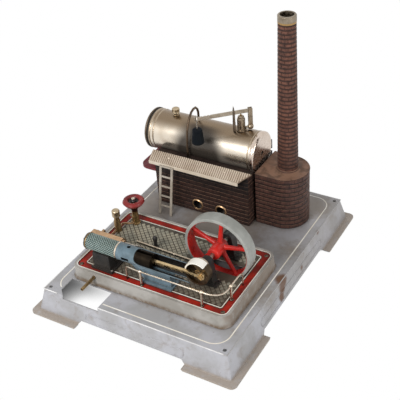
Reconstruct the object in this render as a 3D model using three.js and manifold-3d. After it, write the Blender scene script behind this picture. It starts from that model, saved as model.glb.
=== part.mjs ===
// A model steam engine on a pressed-steel stand: a fired boiler on a brick-pattern house with its chimney,
// and a horizontal slide-valve engine on a chequered bed. Millimetres, +Z up, +X along the engine, +Y towards
// the boiler. The origin is the middle of the stand's footprint, on the surface that it stands on.
import * as THREE from "three";
import { mergeVertices } from "three/addons/utils/BufferGeometryUtils.js";
import Module from "manifold-3d";

const wasm = await Module();
wasm.setup();

// ---------------------------------------------------------------- driving dimensions

const GAP = 0.3; // between pieces that touch, run or fit in each other
const SMALL = 12; // sides of a small round fitting
const ROUND = 20; // sides of an ordinary round piece
const FINE = 40; // sides of a large round piece

const STAND = {
  width: 290,
  depth: 367,
  height: 38,
  flare: 9,
  sheet: 1.5,
  corner: 3,
  flange: 9,
  flangeThickness: 2.5,
  flangeCorner: 8,
  footAlongX: 75,
  footAlongY: 99,
  archHeight: 8.5,
  archRun: 8,
  screwInset: 7,
  screwHole: 2.7,
};
const NOTCH = { left: -121, right: -53, back: -149.5, drop: 6.5, chamfer: 9 };
const BED = {
  width: 252,
  depth: 152,
  middleY: -71,
  height: 19.5,
  flare: 2,
  sheet: 1.5,
  corner: 15,
  rim: 7,
  recess: 1.5,
  border: 10,
  plate: 1,
  screwInset: 6,
};
const SHAFT = { x: 66.5, height: 33.5, radius: 3, back: -22 };
const CRANK = {
  radius: 9,
  angle: 11,
  discRadius: 18,
  discFront: -117.5,
  discBack: -106,
  pin: 2,
  well: 6,
  wellRim: 2.4,
  wellInner: 7,
  wellFrom: 95,
  wellTo: 265,
};
const ROD = { length: 81.5, thickness: 4, bar: 4.6, bigEnd: 5.2, smallEnd: 3.6 };
const ECCENTRIC = { throw: 3.5, radius: 8, strap: 2.5, middleY: -102, width: 5, rodLength: 99.5 };
const WHEEL = {
  radius: 50,
  width: 19,
  rim: 5.2,
  middleY: -54,
  hub: 9,
  hubFront: -74,
  spokes: 5,
  spokeAngle: 11.5,
  spokeWide: 8.4,
  spokeNarrow: 6,
  spokeDepth: 7,
  clearance: 3,
};
const BEARING = {
  width: 34,
  foot: 3,
  waist: 26,
  cap: 8.5,
  nut: 2.4,
  nutInset: 3.2,
  frontY: -98,
  rearY: -36,
  thickness: 12,
};
const CYLINDER = {
  y: -120,
  rear: -108,
  front: -51.7,
  bore: 8.1,
  barrel: 10.2,
  cladding: 11.3,
  cover: 12.6,
  coverThickness: 2.3,
  rearCover: 11.6,
  rearCoverThickness: 4.7,
};
const PEDESTAL = {
  left: -91,
  right: -64,
  front: -133,
  footFront: -135,
  footSide: 4,
  foot: 3,
  height: 27,
};
const TRUNK = {
  bore: 10.8,
  wall: 1.5,
  right: 62,
  open: -23,
  openRun: 13,
  tilt: 31,
  footLeft: -13,
  footRight: 33,
  footHalf: 11,
  gussetLeft: -42,
  foot: 3,
  web: 6,
  oilHoleX: -36,
  oilHole: 2.8,
  sideSlot: [-43, -31],
  sideSlotHeight: 5,
  sideSlotTilt: 8,
};
const CROSSHEAD = { bridge: 5, beyondPin: 8 };
const PISTON = { length: 8, rod: 2, fromFront: 4.5 };
const CHEST = {
  left: -110,
  right: -60,
  depth: 12.6,
  bottom: 21,
  height: 17,
  chamfer: 4,
  gland: 3.4,
  glandReach: 4,
};
const SPINDLE = {
  radius: 1.3,
  y: -103,
  inside: 25,
  bladeLeft: -38,
  bladeRight: -27,
  bladeHeight: 5,
  bladeThickness: 2.2,
};
const HOUSE = { left: -111, right: 48.5, front: 63.5, back: 145, height: 86.5, wall: 1.5 };
const DOOR = { width: 44, height: 39.5 };
const PORTHOLE = { x: [-39.5, 1], height: 14, hole: 7.2, ring: 10, thickness: 1.8 };
const CANOPY = {
  left: -114,
  backRight: 54,
  frontRight: 38,
  back: 67,
  front: 52,
  rise: 10.7,
  belowRoof: 5.2,
  thickness: 1.2,
  lip: 5.5,
};
const LADDER = {
  x: -82,
  footY: 34.5,
  width: 23.6,
  rail: 3.8,
  strip: 1.4,
  rung: 2.8,
  rungInset: 0.2,
  rungs: 5,
  pitch: 16,
  belowLip: 2.5,
};
const AWNING = { reach: 30, corner: 14, drop: 27.5, lip: 4, sheet: 1.2 };
const TOWER = { left: 53, middleX: 87.5, radius: 33.5, wall: 1.5, height: 86.5 };
const STACK = {
  x: 90,
  foot: 14.7,
  top: 12,
  wall: 1.3,
  flue: 9.7,
  height: 225,
  seat: 2,
  seatLip: 0.6,
  seatSpread: 4.5,
  cap: 11,
  capRadius: 12.9,
};
const BOILER = {
  y: 112,
  aboveRoof: 15.3,
  radius: 31,
  wall: 1.2,
  left: -130.5,
  right: 49.3,
  cap: 0.9,
  capSkirt: 7,
};
const GAUGE = { glassInset: 4.3, gasket: 3, bezel: 3.7, bezelLap: 1, openingInset: 7 };
const FILLER = { x: -96.5, hole: 3.2, knob: 5.9, height: 11 };
const TAP = { x: 45, below: 6, stub: 1.5, reach: 5, grip: 1.7, gripHalf: 7 };
const VALVE = {
  x: 15.5,
  turn: 43,
  foot: 7.4,
  body: 6,
  neck: 4.8,
  nose: 3,
  height: 24,
  seat: 12,
  stem: 1.1,
  toPivot: 14,
  toWeight: 65.6,
  toGuide: 10.5,
};
const FORK = {
  ear: 1.5,
  halfWidth: 3,
  pin: 1.2,
  ball: 4.8,
  ballHeight: 3.6,
  arm: 1.5,
  saddle: 6,
  above: 4,
};
const PRONG = { half: 1.6, height: 40.5, tip: 9, thickness: 1.2, bridge: 15.5 };
const LEVER = {
  height: 30.5,
  bar: 5.6,
  thickness: 2,
  beyondWeight: 3.5,
  notches: 4,
  notchPitch: 5,
  notch: 1.6,
};
const WEIGHT = { top: 7.3, bottom: 9.3, height: 23, drop: 16.5, wire: 0.9, ring: 4.8 };
const PIPE = { radius: 1.8, x: -58, rise: 23, inFront: 36, behindTop: 2, below: 31 };
const REGULATOR = { x: -96, y: -21, foot: 7.2, boss: 5.6, column: 4.6, gland: 6, stem: 1.6, height: 38.5 };
const HANDWHEEL = { outer: 16.3, inner: 7, half: 3.8, web: 1.6, hub: 4.4, nut: 2.6, nutHeight: 6 };
const OILER = {
  x: -109,
  y: -49,
  radius: 4.8,
  foot: 5.6,
  height: 26.5,
  bore: 2.6,
  floor: 10,
  cap: 5.9,
  capHeight: 11,
  plug: 5,
  pipe: 1.5,
  pipeHeight: 5,
};
const BOLLARD = { x: -36.5, y: -59.5, radius: 3.6, height: 20 };
const RAIL = {
  height: 24,
  wire: 1.1,
  ball: 2.9,
  post: 1.9,
  foot: 2.8,
  front: -135.5,
  side: 112,
  left: -36.5,
  reachBack: 59,
  posts: [-11, 83],
};
const EXHAUST = { x: -84, radius: 2.4, bore: 1.5, reach: 27, inside: 22, z: 51 };
const TRAY = {
  width: 36,
  height: 12,
  length: 118,
  sheet: 1.2,
  front: 1.5,
  doorLap: 2,
  knob: 4,
  knobNeck: 1.6,
  knobReach: 10,
};

// ---------------------------------------------------------------- derived levels and places

const DECK = STAND.height;
const RIM_TOP = DECK + BED.height;
const BED_FLOOR = RIM_TOP - BED.recess;
const TREAD = BED_FLOOR + BED.plate;
const SHAFT_Z = TREAD + SHAFT.height;
const HOUSE_TOP = DECK + HOUSE.height;
const TOWER_TOP = DECK + TOWER.height;
const STACK_Z = TOWER_TOP + STACK.seat;
const CANOPY_FRONT_Z = HOUSE_TOP - CANOPY.belowRoof;
const BOILER_Z = HOUSE_TOP + BOILER.aboveRoof;
const BOILER_TOP = BOILER_Z + BOILER.radius;
const LEVER_Z = BOILER_TOP + LEVER.height;
const VALVE_BASE = BOILER_TOP + GAP;
const BED_FRONT = BED.middleY - BED.depth / 2;

const radians = THREE.MathUtils.degToRad;
const pinX = SHAFT.x + CRANK.radius * Math.cos(radians(CRANK.angle));
const pinZ = SHAFT_Z + CRANK.radius * Math.sin(radians(CRANK.angle));
const rodRise = Math.asin((pinZ - SHAFT_Z) / ROD.length);
const crossheadX = pinX - ROD.length * Math.cos(rodRise);
const stroke = 2 * CRANK.radius;
const houseMiddleY = (HOUSE.front + HOUSE.back) / 2;
const rodDrop = CRANK.radius * (1 + Math.sin(radians(CRANK.angle)));
const smallEndRoom = ROD.smallEnd + rodDrop + 3 * GAP;
const chestFrontY = CYLINDER.y + CYLINDER.cladding + GAP;
const pipeDropY = BOILER.y - PIPE.inFront;

// ---------------------------------------------------------------- materials

const surface = (color, roughness, metalness) =>
  new THREE.MeshStandardMaterial({ color, roughness, metalness });
const paint = (color, roughness = 0.45) => surface(color, roughness, 0.1);
const metal = (color, roughness = 0.3) => surface(color, roughness, 1);
const MATERIALS = {
  standPaint: paint(0xa9abb0),
  bedPaint: paint(0xb9b8a8),
  treadPaint: paint(0x8f8a76),
  brickPaint: paint(0x4a2a22, 0.6),
  creamPaint: paint(0xd8cdbb),
  redPaint: paint(0xb32420),
  bluePaint: paint(0x6f93a6),
  claddingPaint: paint(0x5f8288),
  blackPaint: paint(0x151515),
  wheelPaint: paint(0xc22a20),
  nickel: metal(0xb5a58c),
  steel: metal(0x8a8680),
  brass: metal(0xb08a4a),
  copper: metal(0xa9825c),
  glass: new THREE.MeshStandardMaterial({
    color: 0xdfe8e8,
    roughness: 0.05,
    transparent: true,
    opacity: 0.35,
  }),
  rubber: paint(0x1b1a18, 0.8),
};

// ---------------------------------------------------------------- solids

// A closed three.js geometry as a manifold-3d solid.
function toSolid(geometry) {
  const bare = geometry.clone();
  bare.deleteAttribute("normal");
  bare.deleteAttribute("uv");
  const merged = mergeVertices(bare, 1e-4);
  const corners = merged.index.array;
  const kept = [];
  for (let i = 0; i < corners.length; i += 3) {
    const [a, b, c] = corners.slice(i, i + 3);
    if (a !== b && b !== c && c !== a) kept.push(a, b, c);
  }
  const vertProperties = new Float32Array(merged.attributes.position.array);
  return new wasm.Manifold(new wasm.Mesh({ numProp: 3, vertProperties, triVerts: new Uint32Array(kept) }));
}

function toGeometry(solid) {
  const mesh = solid.getMesh();
  const geometry = new THREE.BufferGeometry();
  geometry.setAttribute("position", new THREE.BufferAttribute(mesh.vertProperties, 3));
  geometry.setIndex(new THREE.BufferAttribute(mesh.triVerts, 1));
  geometry.computeVertexNormals();
  return geometry;
}

const join = (...pieces) => toGeometry(pieces.map(toSolid).reduce((whole, piece) => whole.add(piece)));
const cut = (body, ...tools) =>
  toGeometry(tools.map(toSolid).reduce((rest, tool) => rest.subtract(tool), toSolid(body)));

// A box between two corners.
function block([x0, y0, z0], [x1, y1, z1]) {
  const box = new THREE.BoxGeometry(x1 - x0, y1 - y0, z1 - z0);
  return box.translate((x0 + x1) / 2, (y0 + y1) / 2, (z0 + z1) / 2);
}

// Turns a geometry made along Z so that its axis points along X or Y.
const alongX = (geometry) => geometry.rotateY(Math.PI / 2);
const alongY = (geometry) => geometry.rotateX(-Math.PI / 2);

// A solid of revolution about Z from [radius, height] points, closed on the axis or on itself, running
// either way.
function turned(profile, sides = ROUND) {
  const points = profile.map(([r, z]) => new THREE.Vector2(r, z));
  if (THREE.ShapeUtils.area(points) < 0) points.reverse();
  return new THREE.LatheGeometry(points, sides).rotateX(Math.PI / 2);
}

const rodAlongZ = (radius, z0, z1, sides = ROUND) =>
  turned([[0, z0], [radius, z0], [radius, z1], [0, z1]], sides);
const rodAlongX = (radius, x0, x1, sides = ROUND) => alongX(rodAlongZ(radius, x0, x1, sides));
const rodAlongY = (radius, y0, y1, sides = ROUND) => alongY(rodAlongZ(radius, y0, y1, sides));

// A ring about Z between two radii and two heights.
const ringAlongZ = (inner, outer, z0, z1, sides = ROUND) =>
  turned([[inner, z0], [outer, z0], [outer, z1], [inner, z1], [inner, z0]], sides);
const ringAlongX = (inner, outer, x0, x1, sides = ROUND) => alongX(ringAlongZ(inner, outer, x0, x1, sides));
const ringAlongY = (inner, outer, y0, y1, sides = ROUND) => alongY(ringAlongZ(inner, outer, y0, y1, sides));

function ball(radius, x, y, z) {
  return new THREE.SphereGeometry(radius, 12, 8).translate(x, y, z);
}

function roundedRectangle(width, depth, radius) {
  const [x, y] = [width / 2, depth / 2];
  const shape = new THREE.Shape();
  shape.moveTo(x - radius, -y);
  shape.absarc(x - radius, -y + radius, radius, -Math.PI / 2, 0);
  shape.absarc(x - radius, y - radius, radius, 0, Math.PI / 2);
  shape.absarc(-x + radius, y - radius, radius, Math.PI / 2, Math.PI);
  shape.absarc(-x + radius, -y + radius, radius, Math.PI, 1.5 * Math.PI);
  return shape;
}

function polygon(points) {
  return new THREE.Shape(points.map(([x, y]) => new THREE.Vector2(x, y)));
}

const extruded = (shape, depth, curveSegments = 3) =>
  new THREE.ExtrudeGeometry(shape, { depth, bevelEnabled: false, curveSegments });

// An outline of [y, z] points drawn out between two places along X.
const extrudedAlongX = (shape, x0, x1) =>
  extruded(shape, x1 - x0).rotateY(Math.PI / 2).rotateX(Math.PI / 2).translate(x0, 0, 0);

// A rounded block from z = 0 to its height whose sides slope out by the flare at the bottom.
function flaredBlock(width, depth, height, flare, corner) {
  const geometry = extruded(roundedRectangle(width, depth, corner), height);
  const position = geometry.attributes.position;
  for (let i = 0; i < position.count; i++) {
    if (position.getZ(i) > 0) continue;
    position.setX(i, position.getX(i) + Math.sign(position.getX(i)) * flare);
    position.setY(i, position.getY(i) + Math.sign(position.getY(i)) * flare);
  }
  return geometry;
}

// A pan: a flared block, hollow from below, with walls and top of one sheet thickness.
function pan(width, depth, height, flare, corner, sheet) {
  const innerFlare = (flare * (height - sheet)) / height;
  const innerCorner = Math.max(corner - sheet, 1);
  const hollow = flaredBlock(width - 2 * sheet, depth - 2 * sheet, height - sheet, innerFlare, innerCorner);
  const spread = 2 * (innerFlare - sheet);
  const mouth = extruded(roundedRectangle(width + spread, depth + spread, 1), 1);
  return cut(flaredBlock(width, depth, height, flare, corner), hollow, mouth.translate(0, 0, -1 + 1e-3));
}

// A round wire or pipe through a list of points.
function wire(points, radius, steps) {
  const stops = points.map((point) => new THREE.Vector3(...point));
  const path = new THREE.CatmullRomCurve3(stops, false, "catmullrom", 0.5);
  const section = new THREE.Shape();
  section.absarc(0, 0, radius, 0, 2 * Math.PI);
  return new THREE.ExtrudeGeometry(section, { steps, extrudePath: path, curveSegments: 4 });
}

const engine = new THREE.Group();

function addPiece(name, geometry, material, x = 0, y = 0, z = 0) {
  const mesh = new THREE.Mesh(geometry, material);
  mesh.name = name;
  mesh.position.set(x, y, z);
  engine.add(mesh);
  return mesh;
}

// ---------------------------------------------------------------- stand and bed

// The arch between two feet, as a cutter that runs along Y across the whole stand.
function archCutter(halfSpan) {
  const outline = polygon([
    [-halfSpan, -1],
    [halfSpan, -1],
    [halfSpan - STAND.archRun, STAND.archHeight],
    [-halfSpan + STAND.archRun, STAND.archHeight],
  ]);
  const length = 2 * STAND.depth;
  return extruded(outline, length).rotateX(Math.PI / 2).translate(0, length / 2, 0);
}

function flangeRing() {
  const spread = 2 * (STAND.flare + STAND.flange);
  const plate = extruded(
    roundedRectangle(STAND.width + spread, STAND.depth + spread, STAND.flangeCorner),
    STAND.flangeThickness,
  );
  const inside = 2 * (STAND.flare - STAND.sheet);
  const [x, y] = [(STAND.width + inside) / 2, (STAND.depth + inside) / 2];
  return cut(plate, block([-x, -y, -1], [x, y, STAND.flangeThickness + 1]));
}

// The cut-out in the deck's front left, which also takes the top of the front wall.
function notchCutter() {
  const front = -STAND.depth;
  const fold = -STAND.depth / 2;
  const outline = polygon([
    [NOTCH.left + NOTCH.chamfer, front],
    [NOTCH.right, front],
    [NOTCH.right, NOTCH.back],
    [NOTCH.left, NOTCH.back],
    [NOTCH.left, fold + NOTCH.chamfer],
    [NOTCH.left + NOTCH.chamfer, fold],
  ]);
  return extruded(outline, NOTCH.drop + 1).translate(0, 0, DECK - NOTCH.drop);
}

function buildStand() {
  const shell = pan(STAND.width, STAND.depth, STAND.height, STAND.flare, STAND.corner, STAND.sheet);
  const screwHoles = [];
  for (const sx of [-1, 1]) {
    for (const sy of [-1, 1]) {
      const hole = rodAlongZ(STAND.screwHole, DECK - 5, DECK + 1, 10);
      const [x, y] = [STAND.width / 2 - STAND.screwInset, STAND.depth / 2 - STAND.screwInset];
      screwHoles.push(hole.translate(sx * x, sy * y, 0));
    }
  }
  const toFeet = STAND.flare + STAND.flange;
  const stand = cut(
    join(shell, flangeRing()),
    archCutter(STAND.width / 2 + toFeet - STAND.footAlongX),
    archCutter(STAND.depth / 2 + toFeet - STAND.footAlongY).rotateZ(Math.PI / 2),
    notchCutter(),
    pipeHole(PIPE.x, pipeDropY, DECK - 5, DECK + 1),
    pipeHole(REGULATOR.x, REGULATOR.y, DECK - 5, DECK + 1),
    ...screwHoles,
  );
  addPiece("base_plate", stand, MATERIALS.standPaint);
}

const pipeHole = (x, y, z0, z1) => rodAlongZ(PIPE.radius + GAP, z0, z1, 12).translate(x, y, 0);

// The slot that the flywheel dips into, cut through the bed and its plate.
function wheelSlot() {
  const toFloor = SHAFT_Z - BED_FLOOR;
  const half = Math.sqrt(WHEEL.radius ** 2 - toFloor ** 2) + WHEEL.clearance;
  const side = WHEEL.width / 2 + WHEEL.clearance - 1;
  return block(
    [SHAFT.x - half, WHEEL.middleY - side, DECK + 1],
    [SHAFT.x + half, WHEEL.middleY + side, TREAD + 1],
  );
}

function buildBed() {
  const [width, depth] = [BED.width - 2 * BED.flare, BED.depth - 2 * BED.flare];
  const shell = pan(width, depth, BED.height, BED.flare, BED.corner, BED.sheet + BED.recess);
  const [insideWidth, insideDepth] = [BED.width - 2 * BED.rim, BED.depth - 2 * BED.rim];
  const inside = roundedRectangle(insideWidth, insideDepth, BED.corner - BED.rim);
  const recess = extruded(inside, BED.recess + 1).translate(0, BED.middleY, BED_FLOOR);
  shell.translate(0, BED.middleY, DECK);
  const exhaustHole = rodAlongY(EXHAUST.radius + GAP, BED_FRONT - 5, BED_FRONT + 8, 16);
  exhaustHole.translate(EXHAUST.x, 0, EXHAUST.z);
  const inletHole = pipeHole(REGULATOR.x, REGULATOR.y, DECK + 5, RIM_TOP);
  addPiece("engine_bed", cut(shell, recess, wheelSlot(), exhaustHole, inletHole), MATERIALS.bedPaint);

  const plateShape = roundedRectangle(insideWidth - 2 * BED.border, insideDepth - 2 * BED.border, 3);
  const plate = extruded(plateShape, BED.plate).translate(0, BED.middleY, BED_FLOOR);
  const oilerHole = rodAlongZ(OILER.foot + GAP, BED_FLOOR - 1, TREAD + 1).translate(OILER.x, OILER.y, 0);
  const plateInlet = pipeHole(REGULATOR.x, REGULATOR.y, BED_FLOOR - 1, TREAD + 1);
  addPiece("tread_plate", cut(plate, wheelSlot(), oilerHole, plateInlet), MATERIALS.treadPaint);
  buildBedScrews(insideWidth / 2 - BED.screwInset, insideDepth / 2 - BED.screwInset);
}

function buildBedScrews(toX, toY) {
  let number = 1;
  for (const sx of [-1, 1]) {
    for (const sy of [-1, 1]) {
      const head = turned([[0, 0], [3, 0], [3, 0.6], [2, 1.4], [0, 1.6]], SMALL);
      const slot = block([-4, -0.4, 0.9], [4, 0.4, 2]).rotateZ(sx * sy);
      const name = `bed_screw_${number++}`;
      addPiece(name, cut(head, slot), MATERIALS.steel, sx * toX, BED.middleY + sy * toY, BED_FLOOR);
    }
  }
}

// ---------------------------------------------------------------- brick houses and chimney

function buildBoilerHouse() {
  const { left, right, front, back, wall } = HOUSE;
  const shell = block([left, front, DECK], [right, back, HOUSE_TOP]);
  const hollow = block([left + wall, front + wall, DECK - 1], [right - wall, back - wall, HOUSE_TOP - wall]);
  const door = block(
    [left - 1, houseMiddleY - DOOR.width / 2, DECK - 1],
    [left + wall + 1, houseMiddleY + DOOR.width / 2, DECK + DOOR.height],
  );
  const cradle = (radius, start) =>
    rodAlongX(radius, start, right + 1, FINE).translate(0, BOILER.y, BOILER_Z);
  const shellCradle = cradle(BOILER.radius + GAP, left - 1);
  const capCradle = cradle(BOILER.radius + BOILER.cap + 2 * GAP, BOILER.right - BOILER.capSkirt - 1);
  const portholes = PORTHOLE.x.map((x) =>
    rodAlongY(PORTHOLE.hole, front - 1, front + wall + 1, 20).translate(x, 0, DECK + PORTHOLE.height));
  const pipeWay = pipeHole(PIPE.x, pipeDropY, HOUSE_TOP - wall - 1, HOUSE_TOP + 1);
  const house = cut(shell, hollow, door, shellCradle, capCradle, ...portholes, pipeWay);
  addPiece("boiler_house", house, MATERIALS.brickPaint);
}

// A brass eyelet round each porthole.
function buildPortholes() {
  const { hole, ring, thickness } = PORTHOLE;
  const outline = [
    [hole, 0],
    [ring, 0],
    [ring - 0.6, thickness * 0.6],
    [hole + 1, thickness],
    [hole, thickness * 0.7],
    [hole, 0],
  ];
  PORTHOLE.x.forEach((x, i) => {
    const eyelet = alongY(turned(outline)).rotateZ(Math.PI);
    addPiece(`porthole_ring_${i + 1}`, eyelet, MATERIALS.brass, x, HOUSE.front, DECK + PORTHOLE.height);
  });
}

// The canopy: a sloping sheet with a turned-down front lip, its right end cut back to the front.
function buildCanopy() {
  const { left, backRight, frontRight, back, front, rise, thickness, lip } = CANOPY;
  const side = polygon([
    [front, CANOPY_FRONT_Z],
    [back, CANOPY_FRONT_Z + rise],
    [back, CANOPY_FRONT_Z + rise - thickness],
    [front + thickness, CANOPY_FRONT_Z - thickness],
    [front + thickness, CANOPY_FRONT_Z - lip],
    [front, CANOPY_FRONT_Z - lip],
  ]);
  const sheet = extrudedAlongX(side, left, backRight);
  const beyond = 5;
  const corner = polygon([
    [frontRight, front],
    [frontRight, front - beyond],
    [backRight + beyond, front - beyond],
    [backRight + beyond, back],
    [backRight, back],
  ]);
  const trim = extruded(corner, 4 * rise).translate(0, 0, CANOPY_FRONT_Z - 2 * rise);
  addPiece("canopy", cut(sheet, trim), MATERIALS.creamPaint);
}

// The awning over the fire door: a shallow pan along the whole left wall, its outer corners round.
function buildAwning() {
  const { reach, corner, drop, lip, sheet } = AWNING;
  const depth = HOUSE.back - HOUSE.front - 2 * GAP;
  const whole = extruded(roundedRectangle(2 * reach, depth, corner), lip, 5);
  const hollow = extruded(roundedRectangle(2 * (reach - sheet), depth - 2 * sheet, corner - sheet), lip, 5);
  const behind = block([0, -depth, -1], [2 * reach, depth, lip + 1]);
  const awning = cut(whole, hollow.translate(0, 0, -sheet), behind);
  const place = [HOUSE.left - GAP, houseMiddleY, HOUSE_TOP - drop - lip];
  addPiece("fire_door_awning", awning, MATERIALS.redPaint, ...place);
}

// The ladder leans on the canopy's front lip: two flat rails and their rungs, the last one closing the top.
function buildLadder() {
  const { x, footY, width, rail, strip, rung, rungInset, rungs, pitch, belowLip } = LADDER;
  const rise = CANOPY_FRONT_Z - belowLip - DECK;
  const slope = Math.atan2(CANOPY.front - GAP - strip - footY, rise);
  const length = rise / Math.cos(slope);
  const pieces = [-1, 1].map((side) => {
    const middle = (side * (width - rail)) / 2;
    return block([middle - rail / 2, 0, 0], [middle + rail / 2, strip, length]);
  });
  for (let i = 0; i < rungs; i++) {
    const top = length - i * pitch;
    pieces.push(block([-width / 2 + 1, rungInset, top - rung], [width / 2 - 1, strip - rungInset, top]));
  }
  const ladder = join(...pieces).rotateX(-slope).translate(x, footY, DECK);
  const ground = block([x - width, footY - width, DECK - 5], [x + width, footY + width, DECK]);
  addPiece("ladder", cut(ladder, ground), MATERIALS.creamPaint);
}

function buildTray() {
  const { width, height, length, sheet, front, doorLap, knob, knobNeck, knobReach } = TRAY;
  const face = HOUSE.left - GAP;
  const floor = DECK + GAP;
  const [near, far] = [houseMiddleY - width / 2, houseMiddleY + width / 2];
  const box = block([face - front / 3, near, floor], [face + length, far, floor + height]);
  const well = block(
    [face + sheet, near + sheet, floor + sheet],
    [face + length - sheet, far - sheet, floor + height + 1],
  );
  const half = DOOR.width / 2 + doorLap;
  const doorPlate = block(
    [face - front, houseMiddleY - half, floor],
    [face, houseMiddleY + half, DECK + DOOR.height + doorLap],
  );
  const outline = [
    [0, -1],
    [knobNeck, -1],
    [knobNeck, knob],
    [knob, knob + 2],
    [knob, knobReach - 1.5],
    [knob / 2, knobReach],
    [0, knobReach],
  ];
  const handle = turned(outline, SMALL).rotateY(-Math.PI / 2);
  handle.translate(face - front, houseMiddleY, DECK + DOOR.height / 2);
  addPiece("burner_tray", join(cut(box, well), doorPlate, handle), MATERIALS.blackPaint);
}

// The chimney house: flat at its left, a half round at its right, with a raised collar round the stack.
function dShape(inset) {
  const radius = TOWER.radius - inset;
  const shape = new THREE.Shape();
  shape.moveTo(TOWER.left + inset, BOILER.y - radius);
  shape.lineTo(TOWER.middleX, BOILER.y - radius);
  shape.absarc(TOWER.middleX, BOILER.y, radius, -Math.PI / 2, Math.PI / 2);
  shape.lineTo(TOWER.left + inset, BOILER.y + radius);
  return shape;
}

function buildChimney() {
  const { x, foot, top, wall, flue, height, seat, seatLip, seatSpread, cap, capRadius } = STACK;
  const shell = extruded(dShape(0), TOWER.height, 12).translate(0, 0, DECK);
  const hollow = extruded(dShape(TOWER.wall), TOWER.height - TOWER.wall + 1, 12).translate(0, 0, DECK - 1);
  const collar = [
    [0, -TOWER.wall],
    [foot + seatSpread, -TOWER.wall],
    [foot + seatSpread, 0],
    [foot + seatLip, seat],
    [0, seat],
  ];
  const boss = turned(collar, FINE).translate(x, BOILER.y, TOWER_TOP);
  const flueHole = rodAlongZ(flue, TOWER_TOP - TOWER.wall - 1, TOWER_TOP + seat + 1, 32);
  flueHole.translate(x, BOILER.y, 0);
  addPiece("chimney_house", cut(join(cut(shell, hollow), boss), flueHole), MATERIALS.brickPaint);

  const taper = [[foot - wall, 0], [foot, 0], [top, height], [top - wall, height], [foot - wall, 0]];
  addPiece("chimney_stack", turned(taper, FINE), MATERIALS.brickPaint, x, BOILER.y, STACK_Z);
  const rim = [[flue, 0], [capRadius, 0], [capRadius, cap - 1], [capRadius - 1, cap], [flue, cap], [flue, 0]];
  addPiece("chimney_cap", turned(rim), MATERIALS.nickel, x, BOILER.y, STACK_Z + height);
}

// ---------------------------------------------------------------- boiler and its fittings

function buildBoiler() {
  const { y, radius, wall, left, right, cap, capSkirt } = BOILER;
  const tube = ringAlongX(radius - wall, radius, left, right - wall - GAP, FINE);
  const filling = rodAlongZ(FILLER.hole, 0, radius + 1, 16).translate(FILLER.x, 0, 0);
  addPiece("boiler_shell", cut(tube, filling), MATERIALS.nickel, 0, y, BOILER_Z);

  const outer = radius + cap;
  const inner = radius + GAP;
  const bend = 1.5;
  const cup = [
    [0, right],
    [outer - bend, right],
    [outer, right - bend],
    [outer, right - capSkirt],
    [inner, right - capSkirt],
    [inner, right - wall],
    [0, right - wall],
  ];
  addPiece("boiler_end_cap", alongX(turned(cup, FINE)), MATERIALS.nickel, 0, y, BOILER_Z);
}

// The water gauge: a round glass in a gasket ring against the boiler's left end, held by the bezel.
function buildGauge() {
  const { y, radius, left } = BOILER;
  const { glassInset, gasket, bezel, bezelLap, openingInset } = GAUGE;
  const glass = radius - glassInset;
  const outer = radius + bezelLap;
  const opening = radius - openingInset;
  const back = left - GAP;
  const front = back - gasket;
  const ring = ringAlongX(glass + GAP, radius, front, back, FINE);
  addPiece("gauge_gasket", ring, MATERIALS.rubber, 0, y, BOILER_Z);
  addPiece("gauge_glass", rodAlongX(glass, front, back, FINE), MATERIALS.glass, 0, y, BOILER_Z);
  const bezelRing = [
    [opening, 0],
    [outer, 0],
    [outer, bezel - 1.4],
    [outer - 1.4, bezel],
    [opening + 2, bezel],
    [opening, bezel - 2],
    [opening, 0],
  ];
  const bezelShape = turned(bezelRing, FINE).rotateY(-Math.PI / 2);
  addPiece("gauge_bezel", bezelShape, MATERIALS.nickel, front - GAP, y, BOILER_Z);
}

function buildFiller() {
  const { x, hole, knob, height } = FILLER;
  const outline = [
    [0, -6],
    [hole - GAP, -6],
    [hole - GAP, 0],
    [5, 0],
    [5, 1.6],
    [3, 2.2],
    [3, 3],
    [knob, 4.2],
    [knob, 7.5],
    [knob * 0.75, height - 1],
    [0, height],
  ];
  addPiece("filler_plug", turned(outline), MATERIALS.brass, x, BOILER.y, BOILER_TOP + GAP);
}

function buildLevelTap() {
  const { x, below, stub, reach, grip, gripHalf } = TAP;
  const start = Math.sqrt((BOILER.radius + BOILER.cap) ** 2 - (below - stub) ** 2) + GAP;
  const spigot = rodAlongY(stub, start, start + reach, 10);
  const handle = rodAlongZ(grip, -gripHalf, gripHalf, SMALL).translate(0, start + reach, 0);
  addPiece("level_tap", join(spigot, handle), MATERIALS.blackPaint, x, BOILER.y, BOILER_Z - below);
}

// Height of the boiler's outer surface above a point at a given Y.
const boilerSurface = (y) => BOILER_Z + Math.sqrt(BOILER.radius ** 2 - (y - BOILER.y) ** 2);

// The steam pipe rises from the boiler, drops in front of it through the house, and runs under the deck to
// the regulator.
function buildSteamPipe() {
  const { x, radius, rise, behindTop, below } = PIPE;
  const start = boilerSurface(BOILER.y + behindTop) + GAP;
  const crown = start + rise;
  const points = [
    [x, BOILER.y + behindTop, start],
    [x, BOILER.y + behindTop - 0.5, crown - 8.5],
    [x, BOILER.y - 4.5, crown],
    [x, BOILER.y - 14.5, crown],
    [x, BOILER.y - 21.5, crown - 5.5],
    [x, BOILER.y - 27, crown - 12.5],
    [x, BOILER.y - 32.5, crown - 25.5],
    [x, pipeDropY + 1, BOILER_Z + 8],
    [x, pipeDropY, HOUSE_TOP + 4],
    [x, pipeDropY, DECK + 12],
    [x, pipeDropY, DECK + 1],
    [x - 2, pipeDropY - 5, below],
    [(x + REGULATOR.x) / 2, (pipeDropY + REGULATOR.y) / 2, below - 1],
    [REGULATOR.x + 2, REGULATOR.y + 5, below],
    [REGULATOR.x, REGULATOR.y, DECK + 1],
    [REGULATOR.x, REGULATOR.y, TREAD - GAP],
  ];
  addPiece("steam_pipe", wire(points, radius, 52), MATERIALS.copper);
}

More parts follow.
